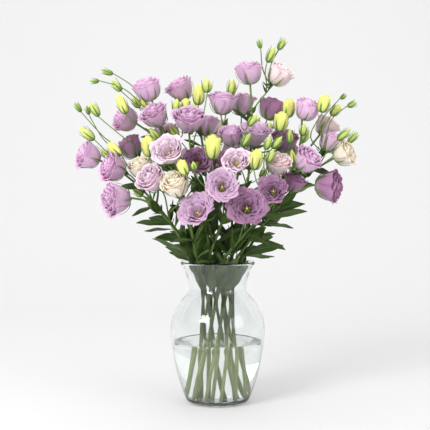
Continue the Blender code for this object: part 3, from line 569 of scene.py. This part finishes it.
class Builder:
    """Gathers closed shapes, in millimetres, into one mesh with several materials."""

    def __init__(self):
        self.points, self.faces, self.slots = [], [], []
        self.tones, self.marks, self.count = [], [], 0

    def add(self, points, faces, slot, tones, marks):
        self.points.append(points)
        self.faces += [tuple(index + self.count for index in face) for face in faces]
        self.slots += [slot] * len(faces)
        self.tones.append(tones)
        self.marks.append(marks)
        self.count += len(points)

    def sheet(self, grid, thick, slot, tones, marks):
        """A thin closed blade over a grid of points."""
        rows, columns = grid.shape[:2]
        along = np.gradient(grid, axis=0)
        sideways = np.gradient(grid, axis=1)
        normal = np.cross(along, sideways)
        normal /= np.maximum(np.linalg.norm(normal, axis=2, keepdims=True), 1e-9)
        top = (grid + normal * thick / 2).reshape(-1, 3)
        under = (grid - normal * thick / 2).reshape(-1, 3)
        half = rows * columns
        faces = []
        for i in range(rows - 1):
            for j in range(columns - 1):
                a, b = i * columns + j, i * columns + j + 1
                c, d = a + columns, b + columns
                faces.append((a, c, d, b))
                faces.append((a + half, b + half, d + half, c + half))
        edge = list(range(columns))
        edge += [i * columns + columns - 1 for i in range(1, rows)]
        edge += [(rows - 1) * columns + j for j in range(columns - 2, -1, -1)]
        edge += [i * columns for i in range(rows - 2, 0, -1)]
        for a, b in zip(edge, edge[1:] + edge[:1]):
            faces.append((a, b, b + half, a + half))
        flat_tones, flat_marks = tones.reshape(-1, 3), marks.reshape(-1, 3)
        self.add(np.vstack([top, under]), faces, slot, np.vstack([flat_tones, flat_tones]),
                 np.vstack([flat_marks, flat_marks]))

    def tube(self, path, radii, sides, slot, tones, ridges=0.0, twist=0.0):
        """A closed tube, with a centre point on each end."""
        side, up = across(unit(path[1] - path[0]))
        angles = np.linspace(0.0, 2.0 * pi, sides, endpoint=False)
        rings, marks = [], []
        for k, (point, radius) in enumerate(zip(path, radii)):
            along = unit(path[min(k + 1, len(path) - 1)] - path[max(k - 1, 0)])
            side = unit(side - along * np.dot(side, along))
            up = np.cross(along, side)
            share = k / (len(path) - 1)
            sized = radius * (1.0 + ridges * np.cos(5 * angles + twist * share))
            rings.append(point + np.outer(np.cos(angles) * sized, side)
                         + np.outer(np.sin(angles) * sized, up))
            marks.append(np.column_stack([np.full(sides, share), angles / 6.283, np.zeros(sides)]))
        points = np.vstack(rings + [path[:1], path[-1:]])
        faces = []
        for i in range(len(path) - 1):
            for k in range(sides):
                a, b = i * sides + k, i * sides + (k + 1) % sides
                faces.append((a, b, b + sides, a + sides))
        last = (len(path) - 1) * sides
        for k in range(sides):
            faces.append((len(points) - 2, (k + 1) % sides, k))
            faces.append((len(points) - 1, last + k, last + (k + 1) % sides))
        colours = np.vstack([np.repeat(tones, sides, axis=0), tones[:1], tones[-1:]])
        self.add(points, faces, slot, colours, np.vstack(marks + [np.zeros((2, 3))]))

    def build(self, name, materials):
        points = np.vstack(self.points) * MM
        mesh = bpy.data.meshes.new(name)
        mesh.from_pydata(points.tolist(), [], self.faces)
        mesh.polygons.foreach_set("material_index", self.slots)
        tone = mesh.attributes.new("tone", "FLOAT_COLOR", "POINT")
        colours = np.column_stack([np.vstack(self.tones), np.ones(len(points))])
        tone.data.foreach_set("color", colours.astype(np.float32).ravel())
        mark = mesh.attributes.new("mark", "FLOAT_VECTOR", "POINT")
        mark.data.foreach_set("vector", np.vstack(self.marks).astype(np.float32).ravel())
        for made in materials:
            mesh.materials.append(made)
        mesh.shade_smooth()
        mesh.update()
        return linked(name, mesh)


def smooth_path(path, radii, per_step):
    """A smooth curve through the points of a broken line."""
    ends = np.vstack([2 * path[0] - path[1], path, 2 * path[-1] - path[-2]])
    out, sizes = [], []
    for k in range(len(path) - 1):
        a, b, c, d = ends[k:k + 4]
        for t in np.arange(per_step) / per_step:
            out.append(0.5 * (2 * b + (c - a) * t + (2 * a - 5 * b + 4 * c - d) * t * t
                              + (3 * b - a - 3 * c + d) * t ** 3))
            sizes.append(radii[k] * (1 - t) + radii[k + 1] * t)
    return np.array(out + [path[-1]]), np.array(sizes + [radii[-1]])


def mix(a, b, share):
    share = np.asarray(share)[..., None]
    return np.asarray(a) * (1 - share) + np.asarray(b) * share


# ---- materials
def with_inputs(node, inputs):
    for socket, value in inputs.items():
        node.inputs[socket.replace("_", " ")].default_value = value
    return node


def shader_of(name, **inputs):
    """A new material with its shader, its nodes and its links."""
    made = bpy.data.materials.new(name)
    made.use_nodes = True
    nodes = made.node_tree.nodes
    return made, with_inputs(nodes["Principled BSDF"], inputs), nodes, made.node_tree.links


def added(nodes, kind, **inputs):
    return with_inputs(nodes.new("ShaderNode" + kind), inputs)


def wire(links, *rows):
    for source, out, target, into in rows:
        links.new(source.outputs[out], target.inputs[into])


def painted(name, roughness, vein_scale, vein_depth, bump_height, **inputs):
    """Tone of each point, with lengthwise veins and fine mottling, and a matching bump."""
    made, shader, nodes, links = shader_of(name, Roughness=roughness, **inputs)
    tone, mark = added(nodes, "Attribute"), added(nodes, "Attribute")
    tone.attribute_name, mark.attribute_name = "tone", "mark"
    stretch = added(nodes, "Mapping", Scale=(1.2, vein_scale, 1.0))
    veins = added(nodes, "TexNoise", Scale=1.6, Detail=4.0)
    place = added(nodes, "TexCoord")
    mottle = added(nodes, "TexNoise", Scale=260.0)
    ramp = added(nodes, "MapRange", From_Min=0.3, From_Max=0.7,
                 To_Min=1.0 - vein_depth, To_Max=1.0 + vein_depth * 0.6)
    speck = added(nodes, "MapRange", To_Min=0.88, To_Max=1.12)
    both, scale = added(nodes, "Math"), added(nodes, "VectorMath")
    both.operation, scale.operation = "MULTIPLY", "SCALE"
    bump = added(nodes, "Bump", Strength=0.5, Distance=bump_height)
    wire(links, (mark, "Vector", stretch, "Vector"), (stretch, "Vector", veins, "Vector"),
         (place, "Object", mottle, "Vector"), (veins, "Fac", ramp, "Value"),
         (mottle, "Fac", speck, "Value"), (ramp, "Result", both, 0), (speck, "Result", both, 1),
         (tone, "Color", scale, 0), (both, "Value", scale, "Scale"),
         (scale, "Vector", shader, "Base Color"), (veins, "Fac", bump, "Height"),
         (bump, "Normal", shader, "Normal"))
    return made


def clear(name, colour, ior, ripple):
    """Clear glass or water, with a faint unevenness."""
    made, shader, nodes, links = shader_of(name, Roughness=0.0, Transmission_Weight=1.0, IOR=ior,
                                           Base_Color=(*colour, 1.0))
    place = added(nodes, "TexCoord")
    noise = added(nodes, "TexNoise", Scale=14.0)
    bump = added(nodes, "Bump", Strength=0.25, Distance=ripple)
    wire(links, (place, "Object", noise, "Vector"), (noise, "Fac", bump, "Height"),
         (bump, "Normal", shader, "Normal"))
    return made


def plain_floor():
    return shader_of("paper_sweep", Roughness=0.9, Base_Color=FLOOR_TONE, Emission_Color=WHITE,
                     Emission_Strength=FLOOR_GLOW)[0]


# ---- flowers
KNOTS = (0.0, 0.12, 0.30, 0.50, 0.70, 0.85, 1.0)
SHUT_RADIUS = (0.14, 0.48, 0.76, 0.92, 1.0, 1.04, 1.17)
SHUT_HEIGHT = (0.0, 0.05, 0.21, 0.45, 0.70, 0.88, 0.97)
WIDE_RADIUS = (0.13, 0.25, 0.40, 0.58, 0.78, 0.94, 1.0)
WIDE_HEIGHT = (0.0, 0.12, 0.34, 0.60, 0.84, 0.95, 0.90)
PETAL_TONES = {
    "lilac": (0.74, 0.465, 0.68), "mauve": (0.40, 0.19, 0.35), "pink": (0.94, 0.71, 0.84),
    "blush": (0.94, 0.73, 0.75), "cream": (0.93, 0.82, 0.66), "bud": (0.77, 0.80, 0.21),
}
PETAL_REACH = 1.03  # petals stand a little proud of the plain cup
PETAL_THICK = 0.35
PETAL_OVERLAP = 1.45  # a petal's width over its share of the ring
SLOW_FRILL, QUICK_FRILL, RIM_WAVE = 0.085, 0.045, 0.07
# Rings of petals, from the outside in: size, height and number of petals.
WIDE_RINGS = ((1.0, 1.0, 5), (0.88, 0.97, 5), (0.70, 0.90, 5), (0.50, 0.80, 4))
HALF_RINGS = ((1.0, 0.90, 5), (0.84, 1.01, 5), (0.66, 1.10, 5), (0.46, 1.14, 4), (0.26, 1.10, 3))
SHUT_RINGS = ((1.0, 0.92, 4), (0.76, 1.02, 3), (0.46, 1.08, 3))
PETAL_FOOT = (0.66, 0.66, 0.46)
THROAT = (0.07, 0.015, 0.05)
OPEN_DEPTH = 0.28  # how much deeper an open flower is in colour
GREEN = (0.13, 0.24, 0.05)
BLADE_THICK = 0.5  # leaves and sepals
LEAF_SPREAD = 1.25
BRACT_SIZE = (17.0, 4.5, radians(26.0))
NECK_LEAF_FOOT = 168.0  # height of the lowest leaf's root
NECK_LEAF_STEP = 5.0
NECK_LEAF_TURNS = (0.0, 0.9)
NECK_LEAF_RING = 9.0  # a stem nearer to the axis has none
NECK_LEAF_TOP = 195.0  # leaves that start below this stay inside the glass
NECK_LEAF_SIZE = (48.0, 15.0, radians(9.0))
NECK_LEAF_ROOM = 1.5
NECK_LEAF_TONE = (0.10, 0.15, 0.06)
# Leaf colour with painted shade: the green itself is the leaves' own colour. Leaves rooted higher up, among
# the blooms, take mostly the darker tone, which stands in for shade there.
LEAF_TONE = (0.028, 0.075, 0.005)
LOW_LEAF_TONE = (0.052, 0.098, 0.016)
LOW_LEAF_TOP = 290.0
HIGH_LEAF_MIX = 0.35  # share of the low tone in the leaves above; the rest is the darker tone, painted shade among the blooms
RIB_TONE = (0.16, 0.25, 0.08)
STEM_TONE = (0.13, 0.23, 0.045)
WET_STEM_TONE = (0.52, 0.61, 0.26)
# Painted shade: stems are drawn darker inside the vase and up into the crowded lower bunch. This is full
# below 190 mm and fades out over the next 120 mm.
NECK_SHADE_STEM_TONE = (0.065, 0.12, 0.02)
NECK_SHADE_TOP, NECK_SHADE_FADE = 190.0, 120.0
NODE_SPACING, NODE_SWELL, NODE_LENGTH = 46.0, 0.10, 2.5


def rays(turn, side, up):
    return np.cos(turn)[..., None] * side + np.sin(turn)[..., None] * up


def petal(builder, pose, opened, ring, angle, count, tint, seed):
    """One petal with a ruffled rim, cupped when shut and flared when open."""
    base, axis, length, rim = pose
    side, up = across(axis)
    draw = np.random.default_rng(seed)
    u = np.linspace(0.0, 1.0, 12)[:, None]
    v = np.linspace(-1.0, 1.0, 13)[None, :]
    scale, lift = ring
    s = u * (1.0 - 0.15 * np.abs(v) ** 3)
    blend = min(1.0, max(0.0, (opened - 0.3) / 0.6))
    radius = np.interp(s, KNOTS, SHUT_RADIUS) * (1 - blend) + np.interp(s, KNOTS, WIDE_RADIUS) * blend
    height = np.interp(s, KNOTS, SHUT_HEIGHT) * (1 - blend) + np.interp(s, KNOTS, WIDE_HEIGHT) * blend
    spread = 0.5 + 0.5 * np.clip(s / 0.5, 0.0, 1.0)
    turn = angle + v * pi / count * PETAL_OVERLAP * spread
    phase, waves = draw.uniform(0, 6.28), draw.uniform(4.5, 7.0)
    frill = s ** 4 * np.sin(waves * v + phase) * SLOW_FRILL
    frill = frill + s ** 6 * np.sin(2.3 * waves * v + phase) * QUICK_FRILL
    curl = s ** 5 * draw.uniform(-0.10, 0.06)
    hug = (1.0 - scale) * 0.55 * (1.0 - blend) + (0.34 if tint == "bud" else 0.0)
    radius = radius * scale * (1.0 - hug * s ** 3)
    radius = rim * PETAL_REACH * (radius + frill + curl + 0.055 * v * s)
    height = length * (height * lift) + rim * s ** 4 * np.cos(waves * v + phase) * RIM_WAVE
    grid = base + axis * height[..., None] + rays(turn, side, up) * radius[..., None]
    colour = np.array(PETAL_TONES[tint]) * draw.uniform(0.88, 1.12)
    colour = colour * (1.0 - OPEN_DEPTH * blend)
    tones = mix(PETAL_FOOT, colour, np.clip(s / 0.38, 0, 1) ** 0.7)
    tones = tones * (0.86 + 0.20 * s ** 2 + 0.16 * s ** 12)[..., None]
    if blend > 0.4:
        tones = mix(tones, THROAT, np.clip(1.0 - s / 0.6, 0, 1) * (0.9 if tint == "mauve" else 0.45))
    marks = np.stack([u + s * 0, v + seed * 0.37 + s * 0, s * 0], axis=2)
    builder.sheet(grid, PETAL_THICK, 0, tones, marks)


def sepals(builder, pose, reach, width, slot, seed):
    base, axis, length, rim = pose
    side, up = across(axis)
    draw = np.random.default_rng(seed)
    for k in range(5):
        angle = k * 2 * pi / 5 + draw.uniform(-0.15, 0.15)
        share = np.linspace(0.0, reach * draw.uniform(0.85, 1.1), 9)[:, None]
        v = np.linspace(-1.0, 1.0, 4)[None, :]
        radius = np.interp(share, KNOTS, SHUT_RADIUS) * rim + 0.9 + share * draw.uniform(0.0, 1.4)
        taper = (1.0 - (share / share[-1]) ** 1.6) * 0.95 + 0.05
        turn = angle + v * width * taper / np.maximum(radius, 2.0)
        lean = np.interp(share, KNOTS, SHUT_HEIGHT) * length
        grid = base + axis * lean[..., None] + rays(turn, side, up) * radius[..., None]
        tones = np.broadcast_to(np.array(GREEN) * draw.uniform(0.8, 1.2), grid.shape)
        marks = np.stack([share + turn * 0, v + turn * 0, turn * 0], axis=2)
        builder.sheet(grid, BLADE_THICK, slot, tones, marks)


def flower_heart(builder, pose, slot):
    """Ovary, style and the ring of stamens."""
    base, axis, length, rim = pose
    side, up = across(axis)
    top = base + axis * length * 0.55
    path = base + axis * length * np.array([0.03, 0.12, 0.25, 0.38, 0.48, 0.56])[:, None]
    radii = np.array([0.10, 0.14, 0.12, 0.05, 0.04, 0.07]) * rim
    tones = np.array([(0.30, 0.42, 0.12)] * 4 + [(0.55, 0.60, 0.15)] * 2)
    builder.tube(path, radii, 10, slot, tones)
    for k in range(5):
        angle = k * 2 * pi / 5 + 0.4
        ray = around(side, up, angle)
        start = base + axis * length * 0.12 + ray * rim * 0.12
        tip = top + ray * rim * 0.15 - axis * length * 0.12
        path = np.array([start, (start + tip) / 2 + ray, tip, tip + axis * 1.6, tip + axis * 3.2])
        builder.tube(path, np.array([0.35, 0.3, 0.3, 0.8, 0.4]), 6, slot,
                     np.array([(0.5, 0.55, 0.2)] * 2 + [(0.75, 0.6, 0.12)] * 3))


def flower(builder, pose, opened, tint, seed, slot_green, slot_heart):
    rings = WIDE_RINGS if opened > 0.58 else HALF_RINGS if opened > 0.25 else SHUT_RINGS
    for level, (scale, lift, count) in enumerate(rings):
        for k in range(count):
            angle = 2 * pi * (k + 0.5 * level) / count + seed
            petal(builder, pose, opened, (scale, lift), angle, count, tint, seed * 97 + level * 11 + k)
    sepals(builder, pose, 0.62, 1.9, slot_green, seed)
    base, axis, length, rim = pose
    cup = base + axis * np.array([0.2, 1.6, 3.4])[:, None]
    builder.tube(cup, np.array([1.2, rim * 0.17, rim * 0.2]), 10, slot_green, np.array([GREEN] * 3))
    if opened > 0.5:
        flower_heart(builder, pose, slot_heart)


# ---- stems
def leaf(builder, root, grain, outward, length, width, tilt, slot, seed):
    """A folded and twisted blade with a paler midrib and side veins."""
    draw = np.random.default_rng(seed)
    spine, crosswise = leaf_spine(root, grain, outward, length, tilt, LEAF_DROOP, 14)
    t = np.linspace(0.0, 1.0, 15)[:, None]
    v = np.linspace(-1.0, 1.0, 9)[None, :]
    half = width * LEAF_SPREAD / 2 * np.maximum(np.sin(pi * t ** 0.8) ** 0.8, 0.03)
    half = half * (1.0 - 0.1 * t)
    half = np.maximum(half, 1.3 * (1 - t) ** 2)
    under = np.cross(crosswise, np.gradient(spine, axis=0))
    under /= np.linalg.norm(under, axis=1, keepdims=True)
    face = 1.0 if np.dot(crosswise, (0.0, 0.0, 1.0)) + np.cross(crosswise, outward)[1] < 0 else -1.0
    twist = (face * draw.uniform(0.35, 0.95) * t)[..., None]
    flat = crosswise
    crosswise = flat * np.cos(twist[:, 0]) + under * np.sin(twist[:, 0])
    under = under * np.cos(twist[:, 0]) - flat * np.sin(twist[:, 0])
    wave = np.sin(t * draw.uniform(9, 14) + draw.uniform(0, 6)) * v ** 2 * 0.08 * width * t
    fold = (np.abs(v) * 0.16 * half) + wave
    grid = spine[:, None] + crosswise[:, None] * (half * v)[..., None] + under[:, None] * fold[..., None]
    if root[2] < NECK_LEAF_TOP:
        reach = np.hypot(grid[..., 0], grid[..., 1])
        above = grid[..., 2] > VASE_INSIDE[0][1]
        room = np.where(above, FAR, inside_radius(grid[..., 2])) - NECK_LEAF_ROOM
        grid[..., :2] *= np.minimum(1.0, room / np.maximum(reach, 0.1))[..., None]
    # painted shade: leaves rooted higher up, among the blooms, are drawn darker
    low = 1.0 if root[2] < LOW_LEAF_TOP else HIGH_LEAF_MIX
    tone = NECK_LEAF_TONE if root[2] < NECK_LEAF_TOP else mix(LEAF_TONE, LOW_LEAF_TONE, low)
    colour = np.array(tone) * draw.uniform(0.8, 1.2)
    rib = np.exp(-(v / 0.09) ** 2) + 0.5 * np.exp(-((np.abs(v) - 0.5) / 0.08) ** 2)
    ribs = np.clip(rib * 0.5, 0, 1) * np.ones_like(t)
    tones = mix(np.broadcast_to(colour, grid.shape), RIB_TONE, ribs)
    marks = np.stack([t * 2 + v * 0, v * 1.5 + t * 0, t * 0 + v * 0], axis=2)
    builder.sheet(grid, BLADE_THICK, slot, tones, marks)


def bud(builder, number, path, radii):
    """A bud on its stalk, ridged and green or swelling open and pale."""
    base, tip, thick = bud_ends(number)
    length = np.linalg.norm(tip - base)
    axis = (tip - base) / length
    stalk, sizes = smooth_path(path, radii, 4)
    builder.tube(stalk, sizes, 8, 0, np.array([STEM_TONE] * len(stalk)))
    pose = (base, axis, length, thick / 2 * 0.92)
    if number in PALE_BUDS:
        flower(builder, pose, 0.15, "bud", 500 + number, 1, 2)
        return
    share = np.linspace(0.0, 1.0, 15)
    swell = np.interp(share, (0, 0.12, 0.3, 0.5, 0.75, 0.92, 1.0), (0.3, 0.66, 0.95, 1.0, 0.62, 0.26, 0.08))
    line = base + axis * length * share[:, None]
    ripe = min(1.0, max(0.0, (thick - 7) / 8.0))
    top = mix((0.36, 0.50, 0.10), (0.76, 0.80, 0.22), ripe)
    tones = mix((0.26, 0.40, 0.09), top, share ** 0.6)
    builder.tube(line, swell * thick / 2 * 0.94, 20, 2, tones, ridges=0.07, twist=5.0)
    sepals(builder, pose, 0.85, 1.3, 1, 700 + number)


def neck_leaves(builder, stem, seed):
    """The lowest leaves, pressed upright between the bunch and the neck of the vase."""
    line = smooth_path(*stem["trunks"][0], 7)[0]
    for k, side in enumerate(NECK_LEAF_TURNS):
        height = NECK_LEAF_FOOT + NECK_LEAF_STEP * ((seed + 2 * k) % 4)
        place = int(np.argmin(np.abs(line[:, 2] - height)))
        x, y = line[place][:2]
        if np.hypot(x, y) < NECK_LEAF_RING:
            continue
        angle = atan2(y, x) + side * (1 if seed % 2 else -1)
        grain = unit(line[place + 1] - line[place - 1])
        grain = grain if grain[2] > 0 else -grain
        outward = np.array((cos(angle), sin(angle), 0.0))
        leaf(builder, line[place], grain, outward, *NECK_LEAF_SIZE, 1, seed + 90 + k)


def stem_piece(name, stem, materials):
    builder = Builder()
    seed = 31 * (list(STEMS).index(name) + 1)
    for k, (path, radii) in enumerate(stem["trunks"]):
        line, sizes = smooth_path(path, radii, 7)
        dry = np.clip((line[:, 2] - WATER_LEVEL + 2.0) / 10.0, 0.0, 1.0)
        # painted shade: the stems are darker in the vase and the lower bunch, fading out higher up
        above = np.clip((line[:, 2] - NECK_SHADE_TOP) / NECK_SHADE_FADE, 0.0, 1.0)
        tones = mix(WET_STEM_TONE, mix(NECK_SHADE_STEM_TONE, STEM_TONE, above), dry)
        if k == 0:
            off_node = line[:, 2] % NODE_SPACING - NODE_SPACING / 2
            sizes = sizes * (1.0 + NODE_SWELL * np.exp(-(off_node / NODE_LENGTH) ** 2))
        builder.tube(line, sizes, 12, 0, tones)
    for number, path, radii in stem["buds"]:
        bud(builder, number, path, radii)
    for k, item in enumerate(stem["leaves"]):
        leaf(builder, *item, 1, seed + k)
    neck_leaves(builder, stem, seed)
    stalks = [path for path, radii in stem["trunks"][1:]]
    stalks += [path for number, path, radii in stem["buds"]]
    for k, path in enumerate(stalks):
        grain = unit(path[1] - path[0])
        side, up = across(grain)
        for turn in (0.0, pi):
            leaf(builder, path[0], grain, around(side, up, turn + k * 1.1), *BRACT_SIZE, 1, seed + 60 + k)
    piece = builder.build("grown_" + name, materials)
    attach(piece, "root")
    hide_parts(name)


def flower_piece(number, materials):
    opened, tint = BLOOMS[number][7:]
    builder = Builder()
    flower(builder, flower_pose(number), opened, tint, number, 1, 2)
    piece = builder.build("flower_%02d" % number, materials)
    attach(piece, "root")
    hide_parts("bloom_%02d" % number)


# ---- vase, water
def turned_piece(name, profile, node, made):
    """A smooth turned solid, whose profile meets the axis at both ends."""
    points = [(0.0, profile[0][1])] + profile + [(0.0, profile[-1][1])]
    angles = [2 * pi * k / TURN_SEGMENTS for k in range(TURN_SEGMENTS)]
    mesh = bpy.data.meshes.new(name)
    bm = bmesh.new()
    rings = []
    for r, z in points:
        if r == 0.0:
            rings.append([bm.verts.new((0.0, 0.0, z * MM))])
        else:
            rings.append([bm.verts.new((r * MM * cos(a), r * MM * sin(a), z * MM)) for a in angles])
    for low, high in zip(rings[:-1], rings[1:]):
        for a in range(TURN_SEGMENTS):
            b = (a + 1) % TURN_SEGMENTS
            if len(low) == 1:
                bm.faces.new((low[0], high[b], high[a]))
            elif len(high) == 1:
                bm.faces.new((low[a], low[b], high[0]))
            else:
                bm.faces.new((low[a], low[b], high[b], high[a]))
    bmesh.ops.recalc_face_normals(bm, faces=bm.faces[:])
    bm.to_mesh(mesh)
    bm.free()
    mesh.materials.append(made)
    mesh.shade_smooth()
    piece = linked(name, mesh)
    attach(piece, "root")
    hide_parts(node)


def rounded(profile, per_step):
    path = np.array([(r, 0.0, z) for r, z in profile])
    line = smooth_path(path, np.ones(len(path)), per_step)[0]
    return [(float(p[0]), float(max(p[2], 0.0))) for p in line]


def vase_and_water():
    glass = clear("vase_glass", (0.965, 0.985, 0.98), 1.5, 0.0004)
    water = clear("clear_water", (0.97, 0.99, 0.985), 1.33, 0.00005)
    outside = rounded(VASE_OUTSIDE, 4)
    inside = rounded(VASE_INSIDE, 4)
    turned_piece("turned_vase", outside + inside, "vase", glass)
    wet = [(r + WATER_OVERLAP, z) for r, z in inside[::-1] if z < WATER_LEVEL]
    wet[0] = (wet[0][0], wet[0][1] - WATER_SINK)
    edge = wet[-1][0]
    meniscus = [(edge, WATER_LEVEL + MENISCUS[1]), (edge - MENISCUS[0], WATER_LEVEL)]
    turned_piece("still_water", wet + meniscus, "water", water)


# ---- stage
def stage():
    """A plain paper sweep, just under the vase's foot."""
    bm = bmesh.new()
    width, near, far, bend = 6.0, -3.0, 2.2, 1.2
    rows = [(near, 0.0), (far - bend, 0.0)]
    for a in np.linspace(0.1, pi / 2, 14):
        rows.append((far - bend + bend * sin(a), bend - bend * cos(a)))
    rows.append((far, 5.0))
    before = None
    for y, z in rows:
        pair = (bm.verts.new((-width, y, z)), bm.verts.new((width, y, z)))
        if before:
            bm.faces.new((before[0], before[1], pair[1], pair[0]))
        before = pair
    mesh = bpy.data.meshes.new("sweep")
    bm.to_mesh(mesh)
    bm.free()
    mesh.materials.append(plain_floor())
    mesh.shade_smooth()
    sweep = linked("sweep", mesh)
    sweep.location.z = -SWEEP_DROP


def softbox(name, place, target, size, power):
    light = bpy.data.lights.new(name, "AREA")
    light.shape = "RECTANGLE"
    light.size, light.size_y = size
    light.energy = power
    box = linked(name, light)
    box.location = place
    box.rotation_euler = (Vector(target) - Vector(place)).to_track_quat("-Z", "Y").to_euler()


def lights():
    world = bpy.data.worlds.new("studio")
    world.use_nodes = True
    nodes, links = world.node_tree.nodes, world.node_tree.links
    place = added(nodes, "TexCoord")
    split = added(nodes, "SeparateXYZ")
    sides = added(nodes, "Math")
    sides.operation = "ABSOLUTE"
    fall = added(nodes, "MapRange", From_Min=0.55, From_Max=0.95, To_Min=WORLD_STRENGTH, To_Max=SIDE_STRENGTH)
    wire(links, (place, "Generated", split, "Vector"), (split, "X", sides, 0),
         (sides, "Value", fall, "Value"), (fall, "Result", nodes["Background"], "Strength"))
    nodes["Background"].inputs["Color"].default_value = WHITE
    bpy.context.scene.world = world
    softbox("key", (-1.1, -1.5, 1.3), (0.0, 0.0, 0.33), (0.8, 0.8), KEY_POWER)
    softbox("fill", (1.8, -1.4, 1.1), (0.0, 0.0, 0.3), (1.4, 1.4), FILL_POWER)
    softbox("back", (0.2, 1.6, 2.1), (0.0, 0.2, 0.2), (2.0, 1.0), BACK_POWER)


def camera():
    lens = bpy.data.cameras.new("view")
    lens.sensor_width = SENSOR_WIDTH
    lens.lens = LENS
    eye = linked("view", lens)
    eye.location = EYE
    eye.rotation_euler = (radians(90.0 - EYE_DIP), 0.0, 0.0)
    bpy.context.scene.camera = eye


def main():
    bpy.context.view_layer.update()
    bpy.context.scene.view_settings.view_transform = "Standard"
    camera()
    stage()
    lights()
    petals = painted("petal_tissue", 0.55, 9.0, 0.10, 0.0004, Subsurface_Weight=0.12,
                     Subsurface_Scale=0.004, Sheen_Weight=0.15)
    green = painted("stem_skin", 0.5, 5.0, 0.14, 0.0003, Specular_IOR_Level=0.35)
    blade = painted("leaf_blade", 0.5, 7.0, 0.12, 0.0005, Specular_IOR_Level=0.2)
    bud_skin = painted("bud_skin", 0.5, 6.0, 0.10, 0.0004, Subsurface_Weight=0.08, Subsurface_Scale=0.003)
    heart = painted("stamens", 0.6, 4.0, 0.10, 0.0003)
    grown = arrange()
    vase_and_water()
    for name in STEMS:
        stem_piece(name, grown[name], (green, blade, bud_skin))
    for number in BLOOMS:
        flower_piece(number, (petals, green, heart))


main()
